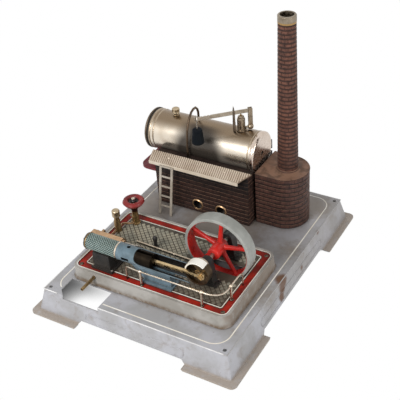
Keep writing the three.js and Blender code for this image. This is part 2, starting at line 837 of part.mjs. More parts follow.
// The safety valve stands on the boiler's ridge; its lever gear lies along a line turned out over the front.
const gear = new THREE.Group();
gear.position.set(VALVE.x, BOILER.y, 0);
gear.rotation.z = radians(VALVE.turn);
engine.add(gear);

function addGear(name, geometry, material) {
  gear.add(addPiece(name, geometry, material));
}

function buildValveBody() {
  const { foot, body, neck, nose, height, seat, stem } = VALVE;
  const outline = [
    [0, seat],
    [stem + GAP, seat],
    [stem + GAP, height],
    [nose, height],
    [neck, height - 1.5],
    [neck, height - 4],
    [body, height - 5],
    [body, 1.8],
    [foot, 1.6],
    [foot, 0],
    [0, 0],
  ];
  addGear("safety_valve_body", turned(outline).translate(0, 0, VALVE_BASE), MATERIALS.steel);

  const stemFoot = VALVE_BASE + seat + GAP;
  const stemTop = LEVER_Z - LEVER.bar / 2 - GAP;
  const needle = turned([[0, stemFoot], [stem, stemFoot], [stem, stemTop - 1], [0, stemTop]], SMALL);
  addGear("safety_valve_stem", needle, MATERIALS.brass);
}

// The fork that holds the lever's pivot, on a ball and a short arm from the valve body.
function buildPivotPost() {
  const { toPivot, body } = VALVE;
  const { ear, halfWidth, pin, ball: ballRadius, ballHeight, arm, saddle, above } = FORK;
  const earInner = LEVER.thickness / 2 + GAP;
  const [left, right] = [toPivot - halfWidth, toPivot + halfWidth];
  const ballZ = VALVE_BASE + ballHeight;
  const foot = ballZ + 2;
  const ears = [-1, 1].map((side) => {
    const y = side * (earInner + ear / 2);
    return block([left, y - ear / 2, foot], [right, y + ear / 2, LEVER_Z + above]);
  });
  const bridge = block([left, -earInner - ear, foot], [right, earInner + ear, foot + saddle]);
  const pivotPin = rodAlongY(pin, -earInner - ear, earInner + ear, SMALL).translate(toPivot, 0, LEVER_Z);
  const armRod = rodAlongX(arm, body + GAP, toPivot, SMALL).translate(0, 0, ballZ);
  const post = join(ball(ballRadius, toPivot, 0, ballZ), armRod, bridge, ...ears, pivotPin);
  addGear("lever_pivot_post", post, MATERIALS.steel);
}

// Two pointed prongs that keep the lever in line, on a bridge beside the valve body.
function buildLeverGuide() {
  const { half, height, tip, thickness, bridge } = PRONG;
  const inner = LEVER.thickness / 2 + GAP;
  const outline = polygon([
    [-half, 0],
    [half, 0],
    [0.75 * half, height - tip],
    [0, height],
    [-0.75 * half, height - tip],
  ]);
  const prongs = [-1, 1].map((side) => {
    const y = side * (inner + thickness / 2) + thickness / 2;
    return extruded(outline, thickness).rotateX(Math.PI / 2).translate(-VALVE.toGuide, y, VALVE_BASE);
  });
  const link = block(
    [-VALVE.toGuide - half, -inner - thickness, VALVE_BASE],
    [-VALVE.toGuide + half, inner + thickness, VALVE_BASE + bridge],
  );
  const flangeRoom = rodAlongZ(VALVE.foot + GAP, VALVE_BASE - 1, VALVE_BASE + height + 5, 24);
  addGear("lever_guide", cut(join(...prongs, link), flangeRoom), MATERIALS.steel);
}

function buildLever() {
  const { toPivot, toWeight } = VALVE;
  const { bar, thickness, beyondWeight, notches, notchPitch, notch } = LEVER;
  const side = thickness / 2;
  const top = LEVER_Z + bar / 2;
  const tip = -toWeight - beyondWeight;
  const beam = block([tip, -side, LEVER_Z - bar / 2], [toPivot, side, top]);
  const eye = rodAlongY(bar / 2 + 0.6, -side, side, 16).translate(toPivot, 0, LEVER_Z);
  const pinHole = rodAlongY(FORK.pin + GAP, -5, 5, SMALL).translate(toPivot, 0, LEVER_Z);
  const cutters = [];
  for (let i = 1; i <= notches; i++) {
    const diamond = block([-notch / 2, -5, -notch / 2], [notch / 2, 5, notch / 2]).rotateY(Math.PI / 4);
    cutters.push(diamond.translate(i * notchPitch - toWeight, 0, top));
  }
  addGear("safety_lever", cut(join(beam, eye), pinHole, ...cutters), MATERIALS.nickel);
}

// The weight hangs from a ring of wire round the lever.
function buildWeight() {
  const { ring, wire: hookWire, drop, height, top, bottom } = WEIGHT;
  const x = -VALVE.toWeight;
  const weightTop = LEVER_Z - drop;
  const loop = new THREE.TorusGeometry(ring, hookWire, 6, 18).rotateY(Math.PI / 2).translate(x, 0, LEVER_Z);
  const shank = rodAlongZ(hookWire, weightTop + GAP, LEVER_Z - ring, 8).translate(x, 0, 0);
  addGear("weight_hook", join(loop, shank), MATERIALS.steel);

  const outline = [
    [0, -height],
    [bottom - 1, -height],
    [bottom, 1 - height],
    [top, -1],
    [top - 1, 0],
    [0, 0],
  ];
  addGear("valve_weight", turned(outline).translate(x, 0, weightTop), MATERIALS.blackPaint);
}

// ---------------------------------------------------------------- engine: cylinder side

function buildCylinder() {
  const { y, rear, front, bore, barrel, cladding, cover, rearCover } = CYLINDER;
  const frontPlate = front - CYLINDER.coverThickness;
  const rearFace = rear + CYLINDER.rearCoverThickness;
  const [start, end] = [rearFace + GAP, frontPlate - GAP];
  const place = [0, y, SHAFT_Z];
  addPiece("cylinder_barrel", ringAlongX(bore, barrel, start, end), MATERIALS.steel, ...place);
  const jacket = ringAlongX(barrel + GAP, cladding, start, end, 32);
  addPiece("cylinder_cladding", jacket, MATERIALS.claddingPaint, ...place);
  const dome = [[0, rear], [8, rear], [rearCover, rear + 2], [rearCover, rearFace], [0, rearFace]];
  addPiece("cylinder_rear_cover", alongX(turned(dome)), MATERIALS.blackPaint, ...place);
  const frontCover = ringAlongX(PISTON.rod + GAP, cover, frontPlate, front - GAP);
  addPiece("cylinder_front_cover", frontCover, MATERIALS.nickel, ...place);

  const pistonFront = frontPlate - PISTON.fromFront;
  const piston = rodAlongX(bore - GAP, pistonFront - PISTON.length, pistonFront);
  addPiece("piston", piston, MATERIALS.steel, ...place);
  const bridgeLeft = crossheadX - stroke - ROD.smallEnd - GAP - CROSSHEAD.bridge;
  addPiece("piston_rod", rodAlongX(PISTON.rod, pistonFront, bridgeLeft, 14), MATERIALS.steel, ...place);
}

function buildPedestal() {
  const { left, right, front, footFront, footSide, foot, height } = PEDESTAL;
  const chestBack = chestFrontY + CHEST.depth;
  const pillar = block([left, front, TREAD], [right, chestFrontY, TREAD + height]);
  const shelf = block([left, chestFrontY - 2, TREAD], [right, chestBack, TREAD + CHEST.bottom]);
  const sole = block([left - footSide, footFront, TREAD], [right + footSide, chestBack, TREAD + foot]);
  const saddle = rodAlongX(CYLINDER.cladding + GAP, left - 5, right + 5, 32);
  saddle.translate(0, CYLINDER.y, SHAFT_Z);
  addPiece("cylinder_pedestal", cut(join(pillar, shelf, sole), saddle), MATERIALS.blackPaint);
}

function buildValveChest() {
  const { left, right, depth, bottom, height, chamfer, gland, glandReach } = CHEST;
  const { radius, y, inside, bladeLeft, bladeRight, bladeHeight, bladeThickness } = SPINDLE;
  const [low, high] = [TREAD + bottom, TREAD + bottom + height];
  const back = chestFrontY + depth;
  const side = polygon([
    [chestFrontY, low],
    [back, low],
    [back, high - chamfer],
    [back - chamfer, high],
    [chestFrontY, high],
  ]);
  const box = extrudedAlongX(side, left, right);
  const collar = rodAlongX(gland, right - 1, right + glandReach, 16).translate(0, y, SHAFT_Z);
  const bore = rodAlongX(radius + GAP, right - inside - 5, right + glandReach + 1, 14);
  bore.translate(0, y, SHAFT_Z);
  addPiece("valve_chest", cut(join(box, collar), bore), MATERIALS.copper);

  const blade = block(
    [bladeLeft, -bladeThickness / 2, -bladeHeight / 2],
    [bladeRight, bladeThickness / 2, bladeHeight / 2],
  );
  const spindle = rodAlongX(radius, right - inside, bladeLeft + 1, 14);
  addPiece("slide_valve_rod", join(spindle, blade), MATERIALS.steel, 0, y, SHAFT_Z);
}

// The trunk guide: a tube that opens into a trough, slotted below for the connecting rod. A web that
// slants in from the tube stands it on a long foot.
function buildTrunk() {
  const { bore, wall, right, footLeft, footRight, footHalf, foot, web, gussetLeft } = TRUNK;
  const outer = bore + wall;
  const tube = rodAlongX(outer, CYLINDER.front, right, 32);
  const hole = rodAlongX(bore, CYLINDER.front - 1, right + 1, 32);
  const footZ = TREAD - SHAFT_Z;
  const gusset = polygon([
    [gussetLeft, 0],
    [footRight - 3, 0],
    [footRight - 3, footZ],
    [footLeft + 3, footZ],
  ]);
  const upright = extruded(gusset, 2 * web).rotateX(Math.PI / 2).translate(0, web, 0);
  const sole = block([footLeft, -footHalf, footZ], [footRight, footHalf, footZ + foot]);
  const slotLeft = crossheadX - stroke - ROD.smallEnd - GAP;
  const halfSlot = ROD.thickness / 2 + 2 * GAP;
  const slot = block([slotLeft, -halfSlot, -smallEndRoom], [right + 1, halfSlot, 0]);
  const discRoom = rodAlongY(CRANK.discRadius + 1.5, -7, 40, FINE).translate(SHAFT.x, 0, 0);
  const oilHole = rodAlongZ(TRUNK.oilHole, 0, outer + 5, 14).translate(TRUNK.oilHoleX, 0, 0);
  const [slotStart, slotEnd] = TRUNK.sideSlot;
  const halfHeight = TRUNK.sideSlotHeight / 2;
  const sideSlot = block([slotStart, -outer - 5, -halfHeight], [slotEnd, -bore + 3, halfHeight]);
  sideSlot.rotateX(radians(TRUNK.sideSlotTilt));
  const tools = [hole, slot, trunkMouth(outer), discRoom, oilHole, sideSlot];
  const guide = cut(join(tube, upright, sole), ...tools);
  addPiece("trunk_guide", guide, MATERIALS.bluePaint, 0, CYLINDER.y, SHAFT_Z);
}

// The trunk's opening as a cutter: its end is a curve, and it faces up and towards the front.
function trunkMouth(outer) {
  const { right, open, openRun, tilt } = TRUNK;
  const [beyond, edge] = [right + 5, 0.5];
  const opening = new THREE.Shape();
  opening.moveTo(beyond, edge);
  opening.lineTo(beyond, outer + 2);
  opening.lineTo(open, outer + 2);
  opening.lineTo(open, outer);
  opening.quadraticCurveTo(open, edge, open + openRun, edge);
  const mouth = extruded(opening, 4 * outer, 8).rotateX(Math.PI / 2).translate(0, 2 * outer, 0);
  return mouth.rotateX(radians(tilt));
}

function buildCrosshead() {
  const slotEnd = crossheadX - stroke - ROD.smallEnd - GAP;
  const left = slotEnd - CROSSHEAD.bridge;
  const right = crossheadX + CROSSHEAD.beyondPin;
  const bodyRadius = TRUNK.bore - GAP;
  const halfSlot = ROD.thickness / 2 + GAP;
  const slot = block([slotEnd, -halfSlot, -bodyRadius - 1], [right + 1, halfSlot, bodyRadius + 1]);
  const head = rodAlongX(bodyRadius, left + GAP, right, 32);
  addPiece("crosshead", cut(head, slot), MATERIALS.brass, 0, CYLINDER.y, SHAFT_Z);
}

// ---------------------------------------------------------------- engine: crank side

function buildConnectingRod() {
  const { length, thickness, bar, bigEnd, smallEnd } = ROD;
  const half = thickness / 2;
  const beam = block([0, -half, -bar / 2], [length, half, bar / 2]);
  const big = rodAlongY(bigEnd, -half, half).translate(length, 0, 0);
  const small = rodAlongY(smallEnd, -half, half);
  const pinHole = rodAlongY(CRANK.pin + GAP, -5, 5, 16).translate(length, 0, 0);
  const rod = cut(join(beam, big, small), pinHole).rotateY(-rodRise);
  addPiece("connecting_rod", rod, MATERIALS.nickel, crossheadX, CYLINDER.y, SHAFT_Z);
}

function buildCrank() {
  const { radius, angle, discRadius, discFront, discBack, pin } = CRANK;
  const { well, wellRim, wellInner, wellFrom, wellTo } = CRANK;
  const disc = rodAlongY(discRadius, discFront, discBack, FINE);
  const crescent = new THREE.Shape();
  const [from, to] = [radians(wellFrom), radians(wellTo)];
  crescent.absarc(0, 0, discRadius - wellRim, from, to);
  crescent.absarc(radius * 0.4, 0, wellInner, to, from, true);
  const hollow = extruded(crescent, well + 1, 8).rotateX(Math.PI / 2).translate(0, discFront + well, 0);
  const sculpted = cut(disc, hollow).rotateY(-radians(angle));
  addPiece("crank_disc", sculpted, MATERIALS.brass, SHAFT.x, 0, SHAFT_Z);

  const rodFront = CYLINDER.y - ROD.thickness / 2 - GAP;
  const pinShape = join(
    rodAlongY(pin, rodFront - 0.2, discFront, 16),
    rodAlongY(pin + 1.6, rodFront - 1.4, rodFront, 20),
  );
  addPiece("crank_pin", pinShape, MATERIALS.brass, pinX, 0, pinZ);
  const shaft = rodAlongY(SHAFT.radius, discBack, SHAFT.back);
  addPiece("crankshaft", shaft, MATERIALS.steel, SHAFT.x, 0, SHAFT_Z);
}

function buildEccentric() {
  const { throw: offset, radius, strap, middleY, width, rodLength } = ECCENTRIC;
  const lead = radians(CRANK.angle + 90);
  const [dx, dz] = [offset * Math.cos(lead), offset * Math.sin(lead)];
  const sheave = rodAlongY(radius, -width / 2, width / 2, 32).translate(dx, 0, dz);
  const bore = rodAlongY(SHAFT.radius + GAP, -width, width, 20);
  addPiece("eccentric_sheave", cut(sheave, bore), MATERIALS.steel, SHAFT.x, middleY, SHAFT_Z);

  const band = ringAlongY(radius + GAP, radius + strap, -width / 2 + GAP, width / 2 - GAP, 32);
  const rise = Math.asin(dz / rodLength);
  const bar = block([-rodLength - 3, 0.3, -1.8], [-radius - 1, 2.2, 1.8]);
  const strapAndBar = join(band, bar).rotateY(rise);
  addPiece("eccentric_rod", strapAndBar, MATERIALS.nickel, SHAFT.x + dx, middleY, SHAFT_Z + dz);
}

function buildBearing(name, startY) {
  const { width, foot, waist, cap, nut, nutInset, thickness } = BEARING;
  const height = SHAFT_Z - TREAD;
  const side = polygon([[-waist / 2, 0], [waist / 2, 0], [cap, height], [-cap, height]]);
  const web = extruded(side, thickness).rotateX(Math.PI / 2).translate(0, thickness, 0);
  const head = rodAlongY(cap, 0, thickness, 24).translate(0, 0, height);
  const sole = block([-width / 2, -1, 0], [width / 2, thickness + 1, foot]);
  const nuts = [-1, 1].map((end) =>
    rodAlongZ(nut, 0, foot + 2, 6).translate(end * (width / 2 - nutInset), thickness / 2, 0));
  const bore = rodAlongY(SHAFT.radius + GAP, -1, thickness + 1, 20).translate(0, 0, height);
  addPiece(name, cut(join(web, head, sole, ...nuts), bore), MATERIALS.blackPaint, SHAFT.x, startY, TREAD);
}

function buildFlywheel() {
  const { radius, width, rim, middleY, hub, hubFront, spokes, spokeAngle } = WHEEL;
  const half = width / 2;
  const inner = radius - rim;
  const band = ringAlongY(inner, radius, -half, half, 48);
  const boss = rodAlongY(hub, hubFront - middleY, half - 1, 24);
  const [atHub, atRim, depth] = [WHEEL.spokeWide / 2, WHEEL.spokeNarrow / 2, WHEEL.spokeDepth];
  const outline = polygon([[hub - 2, -atHub], [inner + 1, -atRim], [inner + 1, atRim], [hub - 2, atHub]]);
  const arms = [];
  for (let i = 0; i < spokes; i++) {
    const arm = extruded(outline, depth).rotateX(Math.PI / 2).translate(0, depth / 2, 0);
    arms.push(arm.rotateY(-radians(spokeAngle + (i * 360) / spokes)));
  }
  const bore = rodAlongY(SHAFT.radius + GAP, -radius, radius, 20);
  addPiece("flywheel", cut(join(band, boss, ...arms), bore), MATERIALS.wheelPaint, SHAFT.x, middleY, SHAFT_Z);
}

// ---------------------------------------------------------------- fittings on the bed

function buildRegulator() {
  const { x, y, foot, boss, column, gland, stem, height } = REGULATOR;
  const top = height - 6;
  const outline = [
    [0, 0],
    [foot, 0],
    [foot, 1.6],
    [boss, 2.4],
    [boss, 13],
    [column, 15],
    [column, top - 8],
    [gland, top - 6],
    [gland, top - 2],
    [gland / 2, top],
    [0, top],
  ];
  addPiece("regulator_valve", turned(outline), MATERIALS.brass, x, y, TREAD);
  const spindle = rodAlongZ(stem, top + GAP, height, SMALL);
  const wheel = handwheel().translate(0, 0, height);
  addPiece("regulator_handwheel", join(spindle, wheel), MATERIALS.redPaint, x, y, TREAD);
}

// A handwheel about its own middle: a thick rim, a sunk web and a nut.
function handwheel() {
  const { outer, inner, half, web, hub, nut, nutHeight } = HANDWHEEL;
  const edge = 0.75 * half;
  return turned([
    [0, -web],
    [inner, -web],
    [inner + 2, -half],
    [outer - 2.5, -half],
    [outer, 0],
    [outer - 1.5, edge],
    [outer - 4, half],
    [inner + 2, edge],
    [inner, 0],
    [hub, 0],
    [hub, half / 2],
    [nut, half],
    [nut, nutHeight - 0.5],
    [0, nutHeight],
  ], 32);
}

function buildOiler() {
  const { x, y, radius, foot, height, bore, floor, cap, capHeight, plug, pipe, pipeHeight } = OILER;
  const socket = [
    [0, floor],
    [bore, floor],
    [bore, height],
    [radius - 1, height],
    [radius - 1, height - 5],
    [radius, height - 7],
    [radius, 6],
    [foot, 4],
    [foot, 0],
    [0, 0],
  ];
  const pipeWay = rodAlongY(pipe + 2 * GAP - 0.2, -10, 10, SMALL).translate(0, 0, pipeHeight);
  addPiece("lubricator_body", cut(turned(socket), pipeWay), MATERIALS.brass, x, y, BED_FLOOR);
  const lid = [
    [0, -plug],
    [bore - GAP, -plug],
    [bore - GAP, 0],
    [cap, 0],
    [cap, capHeight - 2],
    [cap - 1.5, capHeight],
    [0, capHeight],
  ];
  addPiece("lubricator_cap", turned(lid), MATERIALS.brass, x, y, BED_FLOOR + height + GAP);
}

// The steam's last length: from the regulator, through the lubricator, up to the valve chest.
function buildInletPipe() {
  const { x, y, pipe, pipeHeight } = OILER;
  const z = BED_FLOOR + pipeHeight;
  const valveSide = REGULATOR.y - REGULATOR.boss - GAP;
  const chestBack = chestFrontY + CHEST.depth;
  const chestZ = TREAD + CHEST.bottom + CHEST.height / 2;
  const points = [
    [REGULATOR.x, valveSide, z],
    [REGULATOR.x - 1, valveSide - 3, z],
    [x, y + 13, z],
    [x, y + 7, z],
    [x, y, z],
    [x, y - 7, z],
    [x, y - 14, z],
    [x + 2, chestBack + 16, z + 4],
    [x + 6, chestBack + 9, chestZ - 1],
    [x + 6, chestBack + 4, chestZ],
    [x + 6, chestBack + GAP, chestZ],
  ];
  addPiece("steam_inlet_pipe", wire(points, pipe, 26), MATERIALS.copper);
}

function buildBollard() {
  const { x, y, radius, height } = BOLLARD;
  const neck = radius - 0.8;
  const outline = [
    [0, 0],
    [radius + 1, 0],
    [radius + 1, 2],
    [neck, 3],
    [neck, height - 7],
    [radius, height - 5],
    [radius, height - 2],
    [radius - 1.5, height],
    [0, height],
  ];
  addPiece("bollard", turned(outline, SMALL), MATERIALS.blackPaint, x, y, TREAD);
}

// A wire rail on three posts that turns the bed's front right corner; both its ends bend down to the bed.
function buildHandrail() {
  const { height, wire: railRadius, ball: knob, post, foot, front, side, left, reachBack, posts } = RAIL;
  const z = BED_FLOOR + height;
  const back = front + reachBack;
  const route = [
    [left, front + 3, BED_FLOOR],
    [left, front + 3, z - 6],
    [left + 2.5, front + 2.2, z - 1],
    [left + 8.5, front + 1, z],
    [posts[0], front, z],
    [(posts[0] + posts[1]) / 2, front, z],
    [posts[1], front, z],
    [side - 15, front + 1, z],
    [side - 4.5, front + 6, z],
    [side, front + 15.5, z],
    [side, front + 27, z],
    [side, back - 9, z],
    [side, back - 3, z - 2],
    [side, back, z - 8],
    [side, back, BED_FLOOR],
  ];
  const places = [...posts.map((x) => [x, front]), [side, front + 27]];
  const outline = [[0, 0], [foot, 0], [foot, 1.4], [post, 2.2], [post, height], [0, height]];
  const uprights = places.flatMap(([x, y]) => [
    turned(outline, 10).translate(x, y, BED_FLOOR),
    ball(knob, x, y, z),
  ]);
  addPiece("handrail", join(wire(route, railRadius, 44), ...uprights), MATERIALS.steel);
}

// The exhaust pipe leaves through the bed's front wall, over the notch in the deck.
function buildExhaust() {
  const { x, radius, bore, reach, inside, z } = EXHAUST;
  const pipe = rodAlongY(radius, BED_FRONT - reach, BED_FRONT + inside, 16);
  const mouth = rodAlongY(bore, BED_FRONT - reach - 1, BED_FRONT + inside - 3, SMALL);
  addPiece("exhaust_pipe", cut(pipe, mouth), MATERIALS.copper, x, 0, z);
}

buildStand();
buildBed();
buildBoilerHouse();
buildPortholes();
buildCanopy();
buildAwning();
buildLadder();
buildTray();
buildChimney();
buildBoiler();
buildGauge();
buildFiller();
buildLevelTap();
buildSteamPipe();
buildValveBody();
buildPivotPost();
buildLeverGuide();
buildLever();
buildWeight();
buildCylinder();
buildPedestal();
buildValveChest();
buildTrunk();
buildCrosshead();
buildConnectingRod();
buildCrank();
buildEccentric();
buildBearing("front_bearing", BEARING.frontY);
buildBearing("rear_bearing", BEARING.rearY);
buildFlywheel();
buildRegulator();
buildOiler();
buildInletPipe();
buildBollard();
buildHandrail();
buildExhaust();

export default engine;
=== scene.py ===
"""Looks of a model steam engine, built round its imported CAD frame. Shapes are written in millimetres."""

import math

import bmesh
import bpy
from mathutils import Matrix, Vector


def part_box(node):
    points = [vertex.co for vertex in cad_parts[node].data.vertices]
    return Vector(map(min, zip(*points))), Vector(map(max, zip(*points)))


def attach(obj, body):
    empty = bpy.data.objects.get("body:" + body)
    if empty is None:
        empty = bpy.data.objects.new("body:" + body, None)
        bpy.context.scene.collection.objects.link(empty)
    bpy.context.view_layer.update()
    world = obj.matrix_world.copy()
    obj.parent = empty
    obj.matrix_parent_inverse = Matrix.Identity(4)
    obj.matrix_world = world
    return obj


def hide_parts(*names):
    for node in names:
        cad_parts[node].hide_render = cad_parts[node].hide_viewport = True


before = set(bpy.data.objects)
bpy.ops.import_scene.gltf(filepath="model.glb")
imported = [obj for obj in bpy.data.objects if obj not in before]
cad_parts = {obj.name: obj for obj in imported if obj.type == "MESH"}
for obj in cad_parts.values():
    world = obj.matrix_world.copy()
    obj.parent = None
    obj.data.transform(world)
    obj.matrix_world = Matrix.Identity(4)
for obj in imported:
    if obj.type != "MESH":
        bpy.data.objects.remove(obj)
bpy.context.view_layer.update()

MM = 0.001
UP = Vector((0, 0, 1))
BACK = Vector((0, 1, 0))
RIGHT = Vector((1, 0, 0))
TURN = 2 * math.pi


class Box:
    """A CAD node's box at rest, in millimetres."""

    def __init__(self, node):
        low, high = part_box(node)
        self.low, self.high = low / MM, high / MM
        self.middle = (self.low + self.high) / 2
        self.size = self.high - self.low


stand = Box("base_plate")
bed = Box("engine_bed")
plate = Box("tread_plate")
house = Box("boiler_house")
tower = Box("chimney_house")
stack = Box("chimney_stack")
canopy = Box("canopy")
boiler = Box("boiler_shell")
end_cap = Box("boiler_end_cap")
bezel = Box("gauge_bezel")
wheel = Box("flywheel")
disc = Box("crank_disc")
cladding = Box("cylinder_cladding")
front_cover = Box("cylinder_front_cover")
rear_cover = Box("cylinder_rear_cover")
chest = Box("valve_chest")
pedestal = Box("cylinder_pedestal")
handwheel = Box("regulator_handwheel")

DECK = stand.high.z
FLARE = 9  # how far the stand's walls lean out
FOOT_FLANGE = 9
SKIRT = FLARE + FOOT_FLANGE
RIM = 7  # width of the bed's rim
BED_FLOOR = plate.low.z
TREAD = plate.high.z
RIM_TOP = bed.high.z

# ---------------------------------------------------------------- camera and studio

CAMERA_PLACE = Vector((0.526998, -0.812074, 0.796304))
CAMERA_AZIMUTH = math.radians(31.97)
CAMERA_ELEVATION = math.radians(34.80)
CAMERA_ROLL = math.radians(-4.17)
CAMERA_LENS = 75.28
CAMERA_SHIFT = (-0.0202, -0.0178)


def make_camera():
    camera = bpy.data.objects.new("camera", bpy.data.cameras.new("camera"))
    bpy.context.scene.collection.objects.link(camera)
    level = math.cos(CAMERA_ELEVATION)
    flat_forward = Vector((-math.sin(CAMERA_AZIMUTH), math.cos(CAMERA_AZIMUTH), 0))
    forward = flat_forward * level - UP * math.sin(CAMERA_ELEVATION)
    flat_right = flat_forward.cross(UP)
    flat_up = flat_right.cross(forward)
    right = flat_right * math.cos(CAMERA_ROLL) + flat_up * math.sin(CAMERA_ROLL)
    up = flat_up * math.cos(CAMERA_ROLL) - flat_right * math.sin(CAMERA_ROLL)
    turn = Matrix((right, up, -forward)).transposed().to_4x4()
    camera.matrix_world = Matrix.Translation(CAMERA_PLACE) @ turn
    camera.data.lens = CAMERA_LENS
    camera.data.sensor_width = 36
    camera.data.shift_x, camera.data.shift_y = CAMERA_SHIFT
    camera.data.clip_start, camera.data.clip_end = 0.01, 50
    bpy.context.scene.camera = camera


class Nodes:
    """A node tree with short calls for what the finishes share. Sizes are in millimetres of the object."""

    def __init__(self, tree):
        self.tree = tree

    def add(self, kind, **settings):
        node = self.tree.nodes.new("ShaderNode" + kind)
        for name, value in settings.items():
            setattr(node, name, value)
        return node

    def feed(self, socket, value):
        if isinstance(value, bpy.types.NodeSocket):
            self.tree.links.new(value, socket)
        elif isinstance(value, tuple) and len(value) == 3 and len(socket.default_value) == 4:
            socket.default_value = (*value, 1)
        else:
            socket.default_value = value

    def maths(self, operation, *values):
        node = self.add("Math", operation=operation)
        for socket, value in zip(node.inputs, values):
            self.feed(socket, value)
        return node.outputs[0]

    def times(self, *values):
        return self.maths("MULTIPLY", *values)

    def plus(self, *values):
        return self.maths("ADD", *values)

    def most(self, *values):
        return self.maths("MAXIMUM", *values)

    def span(self, value, low, high, to_low=0.0, to_high=1.0):
        """value from low..high to to_low..to_high, eased and held at both ends."""
        node = self.add("MapRange", interpolation_type="SMOOTHSTEP")
        for name, number in (("Value", value), ("From Min", low), ("From Max", high)):
            self.feed(node.inputs[name], number)
        node.inputs["To Min"].default_value = to_low
        node.inputs["To Max"].default_value = to_high
        return node.outputs["Result"]

    def mix(self, share, a, b):
        node = self.add("Mix", data_type="RGBA")
        self.feed(node.inputs["Factor"], share)
        self.feed(node.inputs[6], a)
        self.feed(node.inputs[7], b)
        return node.outputs[2]

    def visible_ray(self):
        """1 for the rays that see the background directly, in gloss or through glass."""
        path = self.add("LightPath")
        seen = self.most(path.outputs["Is Camera Ray"], path.outputs["Is Glossy Ray"])
        return self.most(seen, path.outputs["Is Transmission Ray"])


WHITE = (1.0, 1.0, 1.0)
ROOM_LIGHT = 0.36  # world strength on the object
FLOOR_SIDE = 6.0
FLOOR_ALBEDO = 0.85
SHADOW_REACH = 0.07  # metres over which the object darkens the floor that is seen
SHADOW_SPAN = (0.06, 0.38)  # openness of the floor from full shadow to white


def make_world():
    world = bpy.data.worlds.new("studio")
    world.use_nodes = True
    bpy.context.scene.world = world
    nodes = Nodes(world.node_tree)
    background = world.node_tree.nodes["Background"]
    background.inputs["Color"].default_value = (*WHITE, 1)
    strength = nodes.span(nodes.visible_ray(), 0, 1, ROOM_LIGHT, 1)
    nodes.feed(background.inputs["Strength"], strength)


def make_floor():
    half = FLOOR_SIDE / 2
    mesh = bpy.data.meshes.new("floor")
    corners = [(-half, -half, 0), (half, -half, 0), (half, half, 0), (-half, half, 0)]
    mesh.from_pydata(corners, [], [(0, 1, 2, 3)])
    floor = bpy.data.objects.new("floor", mesh)
    bpy.context.scene.collection.objects.link(floor)

    material = bpy.data.materials.new("floor")
    material.use_nodes = True
    tree = material.node_tree
    tree.nodes.clear()
    nodes = Nodes(tree)
    paint = nodes.add("BsdfDiffuse")
    paint.inputs["Color"].default_value = (FLOOR_ALBEDO, FLOOR_ALBEDO, FLOOR_ALBEDO, 1)
    shadow = nodes.add("AmbientOcclusion", samples=128)
    shadow.inputs["Distance"].default_value = SHADOW_REACH
    white = nodes.add("Emission")
    nodes.feed(white.inputs["Strength"], nodes.span(shadow.outputs["AO"], *SHADOW_SPAN))
    choice = nodes.add("MixShader")
    nodes.feed(choice.inputs[0], nodes.visible_ray())
    tree.links.new(paint.outputs[0], choice.inputs[1])
    tree.links.new(white.outputs[0], choice.inputs[2])
    output = nodes.add("OutputMaterial")
    tree.links.new(choice.outputs[0], output.inputs["Surface"])
    mesh.materials.append(material)


def make_lamp(name, azimuth, elevation, distance, side, power):
    """A square soft box that faces the object. Azimuth 0 is in front, and 90 is at the right."""
    data = bpy.data.lights.new(name, "AREA")
    data.shape = "SQUARE"
    data.size = side
    data.energy = power
    lamp = bpy.data.objects.new(name, data)
    bpy.context.scene.collection.objects.link(lamp)
    a, e = math.radians(azimuth), math.radians(elevation)
    away = Vector((math.sin(a) * math.cos(e), -math.cos(a) * math.cos(e), math.sin(e)))
    lamp.location = away * distance + Vector((0, 0, 0.1))
    lamp.rotation_mode = "QUATERNION"
    lamp.rotation_quaternion = (-away).to_track_quat("-Z", "Y")


def make_studio():
    bpy.context.scene.view_settings.view_transform = "Standard"
    make_world()
    make_floor()
    make_lamp("key_box", -8, 34, 1.15, 0.5, 9.0)
    make_lamp("side_box", 82, 18, 1.5, 0.6, 7)


# ---------------------------------------------------------------- finishes


